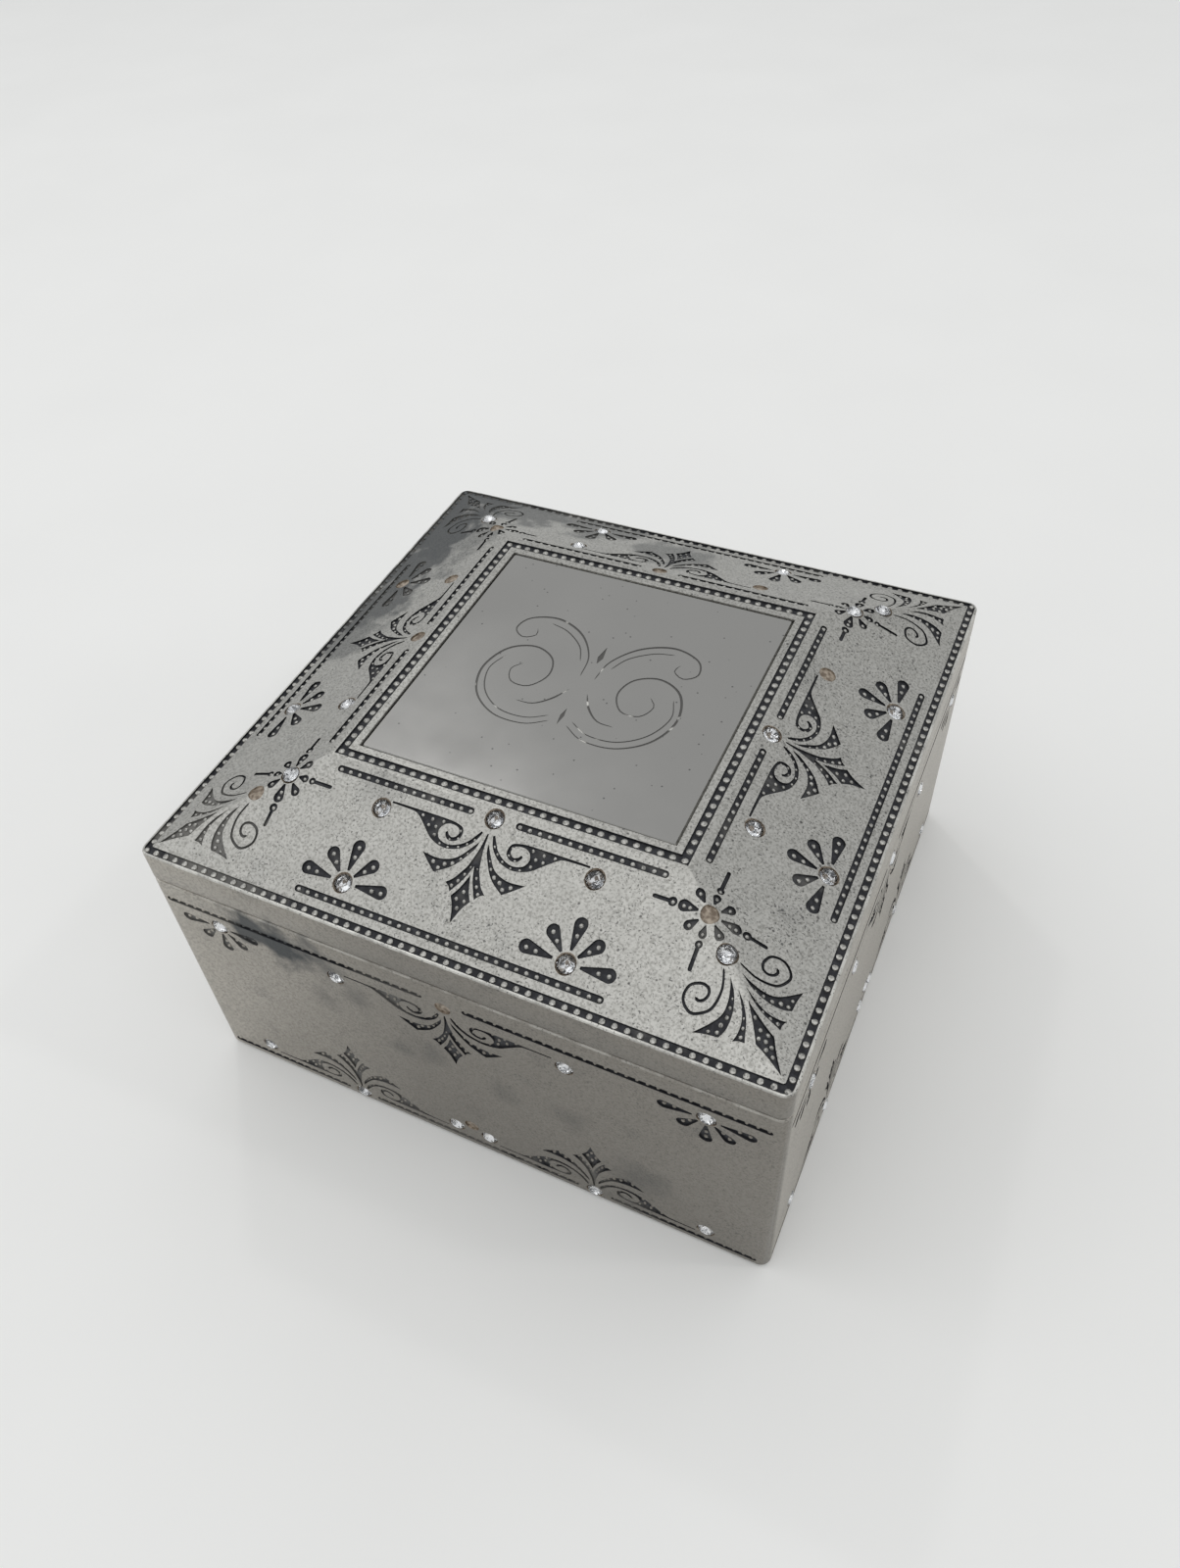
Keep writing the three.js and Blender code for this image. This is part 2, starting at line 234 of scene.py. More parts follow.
def petal(root: float, tip: float, half_width: float) -> Loop:
    """A drop along +Y: narrow at its root and round at its tip."""
    centre = Vector((0, tip - half_width))
    lean = math.asin(half_width / (centre.y - root)) * 0.7
    neck = half_width * 0.2
    return [Vector((-neck, root)), Vector((neck, root))] + arc(centre, half_width, -lean, math.pi + lean, 12)


def pin(start: float, end: float, head: float, shaft: float) -> Loop:
    """A round head near the middle with a thin shaft that points away along +Y."""
    centre = Vector((0, start + head))
    neck = math.asin(shaft / head)
    rim = arc(centre, head, math.pi / 2 + neck, 2.5 * math.pi - neck, 12)
    return rim + arc(Vector((0, end - shaft)), shaft, 0, math.pi, 4)


def ribbon(points: Stroke, widths: Sequence[float], step: float = CURVE_STEP) -> Loop:
    """The outline of a line drawn with a pen whose width changes along it.

    Args:
        points: The points that the middle of the line passes through.
        widths: The pen's width at evenly spaced places from the start to the end.
        step: The rough distance between the points returned, in mm.

    Returns:
        The closed outline, with a point at each end of the line.
    """
    middle = smooth_through(points, step)
    last = len(middle) - 1
    left: Loop = []
    right: Loop = []
    for i in range(1, last):
        along = (middle[i + 1] - middle[i - 1]).normalized()
        place = i / last * (len(widths) - 1)
        low = min(int(place), len(widths) - 2)
        width = widths[low] + (widths[low + 1] - widths[low]) * (place - low)
        across = Vector((-along.y, along.x)) * width / 2
        left.append(middle[i] + across)
        right.append(middle[i] - across)
    return [middle[0]] + right + [middle[last]] + left[::-1]


def counter_clockwise(loop: Loop) -> Loop:
    """The loop in counter-clockwise order."""
    area = sum(a.x * b.y - b.x * a.y for a, b in zip(loop, loop[1:] + loop[:1]))
    return loop if area > 0 else loop[::-1]


# ---------------------------------------------------------------- ornament


@dataclass(frozen=True)
class Bead:
    """A round bead on the floor of a sunk outline, in mm."""

    x: float
    y: float
    radius: float


@dataclass
class Motif:
    """Flat ornament: outlines sunk into the metal, the beads in them and stone sockets."""

    outlines: list[Loop] = field(default_factory=list)
    beads: list[Bead] = field(default_factory=list)
    sockets: list[Vector] = field(default_factory=list)

    def moved(self, matrix: Matrix) -> Motif:
        """The motif carried by a 4x4 matrix, still flat."""

        def carry(point: Vector) -> Vector:
            """One flat point, carried."""
            return (matrix @ point.to_3d()).to_2d()

        return Motif(
            [[carry(point) for point in loop] for loop in self.outlines],
            [Bead(*carry(Vector((b.x, b.y))), b.radius) for b in self.beads],
            [carry(socket) for socket in self.sockets],
        )

    def with_mirror(self) -> Motif:
        """The motif and its copy on the other side of the Y axis."""
        return joined([self, self.moved(Matrix.Diagonal((-1, 1, 1, 1)))])


def joined(motifs: Iterable[Motif]) -> Motif:
    """Several motifs as one."""
    whole = Motif()
    for motif in motifs:
        whole.outlines.extend(motif.outlines)
        whole.beads.extend(motif.beads)
        whole.sockets.extend(motif.sockets)
    return whole


def placed(x: float, y: float, turn: float = 0, wide: float = 1, tall: float = 1) -> Matrix:
    """A stretch, then a turn in degrees, then a move."""
    stretch = Matrix.Diagonal((wide, tall, 1, 1))
    return Matrix.Translation((x, y, 0)) @ Matrix.Rotation(math.radians(turn), 4, "Z") @ stretch


def beads_between(start: float, end: float, y: float, pitch: float, radius: float) -> list[Bead]:
    """A row of evenly spaced beads along X, with one at each end."""
    count = max(1, round((end - start) / pitch))
    return [Bead(start + (end - start) * i / count, y, radius) for i in range(count + 1)]


@dataclass(frozen=True)
class Palmette:
    """The winged palmette. Its own frame starts at its tail line and points along +Y."""

    leaf_bead: float = 0.38
    stem_bead: float = 0.25
    tail_end: float = 17.0

    def spear(self) -> Motif:
        """The leaf in the middle."""
        shape = two_halves(
            [
                [(0, 6.3), (0.8, 8.5), (1.65, 9.95)],
                [(1.65, 9.95), (0.75, 11.4), (0, 13.6)],
            ]
        )
        beads = [Bead(x, y, 0.33) for x, y in ((0, 8.75), (-0.68, 10.0), (0.68, 10.0), (0, 11.2))]
        return Motif([shape], beads)

    def fork(self) -> Motif:
        """The two inner leaves, which share a stem."""
        shape = two_halves(
            [
                [(0.12, 0), (0.18, 0.7), (0.35, 2.5), (0.97, 5.1), (1.47, 6.1), (2.35, 7.5), (3.35, 8.4)],
                [(3.35, 8.4), (2.6, 8.8), (2.1, 9.5)],
                [(2.1, 9.5), (1.1, 7.85), (0.47, 6.5), (0, 5.0)],
            ]
        )
        leaf = [(0.56, 5.15, 0.2), (1.0, 6.4, 0.27), (1.57, 7.55, 0.32), (2.26, 8.5, 0.34)]
        return Motif([shape], [Bead(side * x, y, r) for x, y, r in leaf for side in (-1, 1)])

    def leaf(self) -> Motif:
        """The outer leaf on the right."""
        shape = outline(
            [
                [(0.72, 1.35), (1.85, 2.95), (2.97, 4.35), (4.2, 5.1), (6.1, 5.53), (8.8, 5.35)],
                [(8.8, 5.35), (7.2, 6.6), (5.8, 7.6)],
                [(5.8, 7.6), (3.97, 6.5), (2.85, 5.5), (1.85, 4.1), (0.97, 2.6), (0.72, 1.35)],
            ]
        )
        beads = [(1.9, 3.5, 0.2), (2.57, 4.55, 0.3), (3.56, 5.5), (4.7, 5.95), (5.5, 6.75), (6.66, 6.1)]
        return Motif([shape], [Bead(b[0], b[1], b[2] if len(b) > 2 else self.leaf_bead) for b in beads])

    def wing(self) -> Motif:
        """The wing on the right: a stem, a body with a curl inside it and a long tail."""
        shape = outline(
            [
                [(self.tail_end, -0.2), (12.0, -0.25), (7.5, -0.25), (5.5, -0.1), (4.2, 0.35), (3.9, 1.5),
                 (4.45, 2.4), (5.6, 2.7), (6.35, 2.25), (6.65, 1.65)],
                [(6.65, 1.65), (6.35, 1.4)],
                [(6.35, 1.4), (6.0, 1.85), (5.45, 2.1), (4.8, 1.85), (4.5, 1.25), (4.95, 0.5), (6.35, 0.3),
                 (7.35, 0.75), (7.8, 1.7), (7.45, 2.6), (6.75, 3.05), (5.4, 3.25), (3.8, 2.75), (2.6, 1.9),
                 (1.9, 1.0), (1.15, -0.1)],
                [(1.15, -0.1), (0.85, 0.1)],
                [(0.85, 0.1), (1.45, 1.5), (2.3, 2.5), (3.6, 3.4), (5.4, 3.88), (7.0, 3.75), (8.6, 3.15),
                 (9.85, 2.2), (11.1, 1.2), (12.1, 0.5), (13.1, 0.2), (self.tail_end, 0.1)],
            ]
        )
        body = [(7.7, 0.2), (9.6, 0.35), (11.4, 0.25), (8.6, 1.25), (9.85, 1.35), (8.3, 2.45)]
        stem = [(1.7, 1.35), (2.6, 2.25), (3.8, 3.05), (5.4, 3.55), (6.9, 3.4), (4.5, 0.75), (4.35, 1.9),
                (5.6, 2.4)]
        beads = [Bead(x, y, 0.3) for x, y in body] + [Bead(x, y, self.stem_bead) for x, y in stem]
        return Motif([shape], beads)

    def motif(self) -> Motif:
        """The whole palmette."""
        return joined([self.spear(), self.fork(), joined([self.leaf(), self.wing()]).with_mirror()])


@dataclass(frozen=True)
class Ray:
    """A petal of a daisy or star: where it starts and ends, its half width and its beads."""

    angle: float
    root: float
    tip: float
    half_width: float
    beads: tuple[float, ...]
    bead_radius: float = 0.33

    def motif(self) -> Motif:
        """The petal, turned to its angle in degrees from +Y."""
        shape = Motif([petal(self.root, self.tip, self.half_width)])
        shape.beads = [Bead(0, place, self.bead_radius) for place in self.beads]
        return shape.moved(placed(0, 0, self.angle))


@dataclass(frozen=True)
class HalfDaisy:
    """Five petals that spread from a stone, with the middle one along +Y."""

    def motif(self) -> Motif:
        """The petals round the stone at the origin."""
        middle = Ray(0, 1.9, 6.7, 1.08, (5.6, 4.1), 0.38).motif()
        slanted = Ray(-45, 1.85, 6.15, 1.06, (5.1, 3.65), 0.38).motif()
        level = Ray(-86, 2.2, 7.7, 1.06, (6.6, 5.0), 0.38).motif()
        return joined([middle, joined([slanted, level]).with_mirror()])


@dataclass(frozen=True)
class Star:
    """Eight petals round a stone, with four pins that continue the straight ones."""

    def motif(self) -> Motif:
        """The star round the stone at the origin, with its longer petals along X."""
        parts = [Ray(45 + 90 * i, 1.72, 4.05, 0.74, (3.2,), 0.34).motif() for i in range(4)]
        for angle in (90, -90):
            parts.append(Ray(angle, 1.72, 4.8, 0.88, (3.0, 3.95), 0.34).motif())
            spike = Motif([pin(4.95, 8.8, 0.7, 0.31)], [Bead(0, 5.63, 0.36)])
            parts.append(spike.moved(placed(0, 0, angle)))
        for angle in (0, 180):
            parts.append(Ray(angle, 1.72, 3.55, 0.62, (2.85,), 0.31).motif())
            spike = Motif([pin(3.75, 8.1, 0.58, 0.31)], [Bead(0, 4.28, 0.32)])
            parts.append(spike.moved(placed(0, 0, angle)))
        return joined(parts)


@dataclass(frozen=True)
class CornerFan:
    """The fan in a corner: its frame has the corner at the origin and its edges on X and Y."""

    curl_width: float = 0.44

    def half(self) -> Motif:
        """The curl and the two leaves on the X side of the diagonal."""
        curl = ribbon(
            [(14.6, 12.9), (14.1, 11.5), (13.8, 10.0), (14.0, 8.2), (14.7, 6.9), (16.5, 6.0), (17.7, 6.45),
             (18.45, 7.4), (18.5, 8.5), (18.0, 9.5), (16.6, 10.05), (15.55, 9.7), (15.3, 8.9), (15.7, 8.1),
             (16.4, 7.8), (17.0, 8.15)],
            (0.28, self.curl_width, self.curl_width, self.curl_width, 0.46),
        )
        long_leaf = outline(
            [
                [(13.3, 12.1), (12.8, 10.6), (12.5, 9.0), (12.55, 7.6), (12.95, 6.65), (13.8, 5.6),
                 (15.7, 3.75)],
                [(15.7, 3.75), (13.9, 4.1), (12.1, 4.25)],
                [(12.1, 4.25), (11.5, 5.4), (11.3, 7.0), (11.5, 8.6), (12.1, 10.3), (13.3, 12.1)],
            ]
        )
        short_leaf = outline(
            [
                [(11.7, 10.9), (10.8, 9.4), (10.1, 8.0), (9.8, 6.7), (9.9, 5.3), (10.2, 4.4)],
                [(10.2, 4.4), (9.4, 4.7), (8.5, 4.75)],
                [(8.5, 4.75), (8.75, 5.6), (9.3, 7.5), (10.3, 9.3), (11.7, 10.9)],
            ]
        )
        beads = [(12.05, 9.6, 0.22), (11.95, 8.4, 0.3), (11.9, 7.1, 0.34), (12.35, 5.95, 0.38),
                 (12.5, 4.9, 0.35), (13.7, 4.65, 0.3), (10.6, 9.0, 0.2), (9.75, 7.7, 0.25), (9.4, 6.5, 0.3),
                 (9.3, 5.35, 0.34)]
        return Motif([curl, long_leaf, short_leaf], [Bead(*bead) for bead in beads])

    def spear(self) -> Motif:
        """The leaf on the diagonal."""
        side = [[(10, 10), (8.7, 8.0), (7.7, 6.3), (7.1, 5.1)], [(7.1, 5.1), (5.1, 4.1), (2.5, 2.5)]]
        half = smooth_through(side[0]) + smooth_through(side[1])[1:]
        other = [Vector((point.y, point.x)) for point in reversed(half)]
        beads = [(8.35, 8.35), (7.1, 7.1), (7.0, 5.95), (5.95, 7.0), (5.95, 5.95), (5.6, 4.95), (4.95, 5.6),
                 (4.4, 4.4)]
        return Motif([half + other[1:-1]], [Bead(x, y, 0.36) for x, y in beads])

    def motif(self) -> Motif:
        """The whole fan."""
        half = self.half()
        swap = Matrix(((0, 1, 0, 0), (1, 0, 0, 0), (0, 0, 1, 0), (0, 0, 0, 1)))
        return joined([half, half.moved(swap), self.spear()])


# ---------------------------------------------------------------- sheet metal


@dataclass
class Ring:
    """A closed loop of mesh vertices, counter-clockwise seen from the outside."""

    verts: list[BMVert]

    def pairs(self) -> list[tuple[BMVert, BMVert]]:
        """Each vertex with the next one."""
        return list(zip(self.verts, self.verts[1:] + self.verts[:1]))


class Sheet:
    """A flat metal face with ornament sunk into it. It faces +Z, at height 0."""

    CHAMFER = 0.02
    DRAFT = 0.03
    SOCKET_RADIUS = 1.62
    LOST_RADIUS = 1.42
    GLUE_DEPTH = 0.3
    SOCKET_STEPS = 20

    def __init__(self, depth: float, rise: float = 1.0) -> None:
        """Starts an empty sheet.

        Args:
            depth: How far its ornament is sunk, in mm.
            rise: How high its beads stand, as a share of the depth.
        """
        self.bm = bmesh.new()
        self.depth = depth
        self.rise = rise

    @staticmethod
    def bead_mesh() -> Mesh:
        """A closed low dome of radius 1, blackened round its foot."""
        bm = bmesh.new()
        bmesh.ops.create_uvsphere(bm, u_segments=8, v_segments=6, radius=1)
        geometry = bm.verts[:] + bm.edges[:] + bm.faces[:]
        cut = bmesh.ops.bisect_plane(
            bm, geom=geometry, dist=1e-4, plane_co=(0, 0, -0.05), plane_no=(0, 0, 1), clear_inner=True
        )
        rim = [item for item in cut["geom_cut"] if isinstance(item, BMEdge)]
        bmesh.ops.edgeloop_fill(bm, edges=rim)
        for face in bm.faces:
            low = face.calc_center_median().z < 0.1
            face.material_index = (Metal.BLACKENED if low else Metal.WORN).value
        mesh = bpy.data.meshes.new("bead")
        bm.to_mesh(mesh)
        bm.free()
        return mesh

    def ring(self, loop: Loop) -> Ring:
        """Adds a closed loop of vertices and edges at height 0."""
        ring = Ring([self.bm.verts.new((p.x, p.y, 0)) for p in counter_clockwise(loop)])
        for pair in ring.pairs():
            self.bm.edges.new(pair)
        return ring

    def fill(self, rings: Sequence[Ring], metal: Metal) -> None:
        """Fills between loops, leaving the inner ones open.

        Args:
            rings: The outer loop and the loops inside it.
            metal: The finish of the new faces.
        """
        edges = [self.bm.edges.get(pair) for ring in rings for pair in ring.pairs()]
        made = bmesh.ops.triangle_fill(
            self.bm, use_beauty=True, use_dissolve=False, edges=edges, normal=(0, 0, 1)
        )
        for item in made["geom"]:
            if isinstance(item, BMFace):
                item.material_index = metal.value

    def lowered(self, ring: Ring, inwards: float, drop: float, metal: Metal) -> Ring:
        """Extrudes a loop into a new one below it.

        Args:
            ring: The loop to extrude.
            inwards: How far the new loop lies inside the old one, or outside if negative.
            drop: How far it lies below.
            metal: The finish of the new faces.

        Returns:
            The new loop.
        """
        edges = [self.bm.edges.get(pair) for pair in ring.pairs()]
        made = bmesh.ops.extrude_edge_only(self.bm, edges=edges)["geom"]
        old = set(ring.verts)
        below = {}
        for vert in (item for item in made if isinstance(item, BMVert)):
            partner = next(e.other_vert(vert) for e in vert.link_edges if e.other_vert(vert) in old)
            below[partner] = vert
        for face in (item for item in made if isinstance(item, BMFace)):
            face.material_index = metal.value
        count = len(ring.verts)
        for i, vert in enumerate(ring.verts):
            along = (ring.verts[(i + 1) % count].co - ring.verts[i - 1].co).normalized()
            below[vert].co = vert.co + Vector((-along.y, along.x, 0)) * inwards - Vector((0, 0, drop))
        return Ring([below[vert] for vert in ring.verts])

    def sink(self, rings: Sequence[Ring], islands: Sequence[Ring] = ()) -> None:
        """Sinks the ground inside rings and outside islands, with a bright chamfered edge."""
        floors = []
        for group, side in ((rings, 1), (islands, -1)):
            for ring in group:
                edge = self.lowered(ring, side * self.CHAMFER, self.CHAMFER, Metal.WORN)
                wall = self.lowered(edge, side * self.DRAFT, self.depth - self.CHAMFER, Metal.BLACKENED)
                floors.append(wall)
        self.fill(floors, Metal.BLACKENED)

    def socket(self, centre: Vector, lost: bool) -> Ring:
        """Adds the loop of a stone's socket, which is partly filled where its stone is lost."""
        radius = self.LOST_RADIUS if lost else self.SOCKET_RADIUS
        return self.ring(circle(centre, radius, self.SOCKET_STEPS))

    def drill(self, ring: Ring, lost: bool) -> None:
        """Sinks a stone's socket, shaped round the stone's back, or shallow where it is lost."""
        rows = ((self.DRAFT, self.GLUE_DEPTH),) if lost else ((0.06, 0.28), (0.7, 0.5), (0.65, 0.45))
        ring = self.lowered(ring, self.CHAMFER, self.CHAMFER, Metal.WORN if lost else Metal.GLUED)
        for inwards, drop in rows:
            ring = self.lowered(ring, inwards, drop, Metal.GLUED)
        self.fill([ring], Metal.GLUED)

    def trace(
        self, motif: Motif, places: Mapping[str, Vector], lost: frozenset[str]
    ) -> tuple[list[Ring], dict[str, Ring]]:
        """Adds the loops that the ornament and the sockets are cut from.

        Args:
            motif: The ornament.
            places: Where each stone stands, by name.
            lost: The names of the lost stones.

        Returns:
            The outlines' loops, and the sockets' loops by name.
        """
        sunk = [self.ring(loop) for loop in motif.outlines]
        return sunk, {name: self.socket(place, name in lost) for name, place in places.items()}

    def carve(self, sunk: Sequence[Ring], holes: Mapping[str, Ring], lost: frozenset[str]) -> None:
        """Sinks the traced ornament and drills the sockets."""
        for ring in sunk:
            self.sink([ring])
        for name, ring in holes.items():
            self.drill(ring, name in lost)

    def add_beads(self, beads: Iterable[Bead]) -> None:
        """Stands beads on the sunk ground."""
        dome = self.bead_mesh()
        for bead in beads:
            start = len(self.bm.verts)
            self.bm.from_mesh(dome)
            self.bm.verts.ensure_lookup_table()
            tall = min(bead.radius, self.depth) * self.rise
            scale = Vector((bead.radius, bead.radius, tall))
            foot = Vector((bead.x, bead.y, -self.depth))
            for vert in self.bm.verts[start:]:
                vert.co = vert.co * scale + foot
        bpy.data.meshes.remove(dome)

    def cut_flat(self, where: Vector, normal: Vector) -> None:
        """Adds a line of vertices where a plane crosses the sheet, so that it can fold there."""
        geometry = self.bm.verts[:] + self.bm.edges[:] + self.bm.faces[:]
        bmesh.ops.bisect_plane(self.bm, geom=geometry, dist=1e-4, plane_co=where, plane_no=normal)

    def fold(self, carry: Callable[[Vector], Vector]) -> None:
        """Moves every vertex from its flat place to its place on the box."""
        for vert in self.bm.verts:
            vert.co = carry(vert.co)


def extended(
    bm: BMesh,
    border: Sequence[BMEdge],
    carry: Callable[[Vector], Vector],
) -> list[BMEdge]:
    """Extrudes an open border and puts each new vertex where carry sends its old place.

    Args:
        bm: The mesh.
        border: The edges to extrude.
        carry: The new place for a vertex at a given place.

    Returns:
        The new border's edges.
    """
    made = bmesh.ops.extrude_edge_only(bm, edges=list(border))["geom"]
    fresh = {item for item in made if isinstance(item, BMVert)}
    for vert in fresh:
        vert.co = carry(vert.co)
    for face in (item for item in made if isinstance(item, BMFace)):
        face.material_index = Metal.WORN.value
    return [e for e in made if isinstance(e, BMEdge) and all(v in fresh for v in e.verts)]


def open_border(bm: BMesh, test: Callable[[Vector], bool]) -> list[BMEdge]:
    """The edges with a face on one side only whose middle passes the test."""
    return [e for e in bm.edges if e.is_boundary and test((e.verts[0].co + e.verts[1].co) / 2)]


@dataclass(frozen=True)
class RoundedPlan:
    """A square plan with round corners, round the box's middle."""

    half: float
    radius: float

    def carry(self, point: Vector, other: RoundedPlan) -> Vector:
        """The matching place on another such plan, at the same height."""
        straight = self.half - self.radius
        flat = other.half - other.radius
        size = Vector((abs(point.x), abs(point.y)))
        beyond = size - Vector((straight, straight))
        if min(beyond) > 0:
            place = Vector((flat, flat)) + beyond / self.radius * other.radius
        elif size.x > size.y:
            place = Vector((other.half, min(size.y, flat)))
        else:
            place = Vector((min(size.x, flat), other.half))
        return Vector((math.copysign(place.x, point.x), math.copysign(place.y, point.y), point.z))


# ---------------------------------------------------------------- the box's own sizes


@dataclass(frozen=True)
class Envelope:
    """The castings' outer sizes in mm: the first six read from the CAD frame, the rest given."""

    half: float
    middle_y: float
    body_bottom: float
    body_top: float
    lid_bottom: float
    plateau: float
    corner_radius: float = 1.9
    wall: float = 2.0
    rim: float = 58.3
    slope: float = 0.41
    slope_start: float = 1.17
    notch_half: float = 19.7
    notch_height: float = 1.9

    @classmethod
    def from_frame(cls) -> Envelope:
        """Reads the castings' boxes."""
        low, high = (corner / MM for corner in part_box("body_casting"))
        lid_low, lid_high = (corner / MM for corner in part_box("lid_casting"))
        return cls(
            half=(high.x - low.x) / 2,
            middle_y=(high.y + low.y) / 2,
            body_bottom=low.z,
            body_top=high.z,
            lid_bottom=lid_low.z,
            plateau=lid_high.z,
        )

    @property
    def seam(self) -> float:
        """The height of the hinge axis, half way between body and lid."""
        return (self.body_top + self.lid_bottom) / 2

    @property
    def slope_end(self) -> float:
        """How far in from the outside the lid's faces reach the flat frame."""
        return self.slope_start + (self.plateau - self.rim) / self.slope

    def height(self, x: float, y: float) -> float:
        """The height of the lid's smooth surface over a point of its plan."""
        inset = self.half - max(abs(x), abs(y))
        rise = min(max(inset, self.slope_start), self.slope_end) - self.slope_start
        return self.rim + self.slope * rise

    def plan(self, inset: float) -> RoundedPlan:
        """The plan that lies a given way in from the outside."""
        return RoundedPlan(self.half - inset, max(self.corner_radius - inset, 0.15))


def left_and_right(places: Mapping[str, Point]) -> dict[str, Point]:
    """Makes a left and a right place out of each one that lies off the middle line.

    Args:
        places: How far across to the right and how far in each place lies, by name.

    Returns:
        The places by name, in the same order.
    """
    pairs: dict[str, Point] = {}
    for name, (across, inset) in places.items():
        if across == 0:
            pairs[name] = (0, inset)
        else:
            pairs[f"{name}_left"] = (-across, inset)
            pairs[f"{name}_right"] = (across, inset)
    return pairs


@dataclass(frozen=True)
class StonePlaces:
    """Where the stones are, and which of them are lost."""

    lid_side: Mapping[str, Point] = field(
        default_factory=lambda: left_and_right(
            {"centre": (0, 22.15), "tail": (18.35, 18.5), "daisy": (19, 6.4)}
        )
    )
    lid_corner: Mapping[str, float] = field(default_factory=lambda: {"star": 19, "fan": 14.75})
    wall: Mapping[str, Point] = field(
        default_factory=lambda: left_and_right(
            {"centre": (0, 12.3), "tail": (20.5, 16), "daisy": (43.2, 14.3), "low_middle": (0, 50.6),
             "low_inner": (3.3, 52.6), "low_outer": (44, 52.6), "low_root": (23.65, 55.7)}
        )
    )
    lost: frozenset[str] = frozenset(
        {
            "corner_front_right_star",
            "corner_front_left_fan",
            "corner_back_left_star",
            "right_tail_right",
            "left_centre",
            "left_tail_left",
            "left_daisy_left",
            "back_centre",
            "back_tail_left",
            "wall_front_centre",
            "wall_front_low_middle",
            "wall_left_low_middle",
            "wall_left_tail_right",
            "wall_back_low_middle",
            "wall_back_daisy_left",
        }
    )


# ---------------------------------------------------------------- finishes


def colour(code: str) -> tuple[float, float, float, float]:
    """An sRGB hex value, such as "8f8f8a", as linear red, green, blue and alpha."""
    parts = [int(code[i : i + 2], 16) / 255 for i in (0, 2, 4)]
    linear = [p / 12.92 if p <= 0.04045 else ((p + 0.055) / 1.055) ** 2.4 for p in parts]
    return (linear[0], linear[1], linear[2], 1.0)


def per_metre(size: float) -> float:
    """A texture scale that gives features of the given size in mm."""
    return 1 / (size * MM)


def add_node(
    tree: NodeTree,
    kind: str,
    inputs: Mapping[str | int, object] | None = None,
    **settings: object,
) -> Node:
    """Adds a node, sets it up and links it.

    Args:
        tree: The node tree.
        kind: The node's type name.
        inputs: Values for its sockets by name or place. A socket given as a value is linked.
        settings: Values for the node's own properties.

    Returns:
        The new node.
    """
    node = tree.nodes.new(kind)
    for name, value in settings.items():
        setattr(node, name, value)
    for key, value in (inputs or {}).items():
        socket = node.inputs[key]
        if isinstance(value, NodeSocket):
            tree.links.new(value, socket)
        else:
            socket.default_value = value
    return node


@dataclass(frozen=True)
class Cloud:
    """A ragged patch on the metal: its middle, its radius in mm and its strength from 0 to 1.

    It fades out over a share of its radius.
    """

    x: float
    y: float
    z: float
    radius: float
    strength: float
    fade: float = 0.4


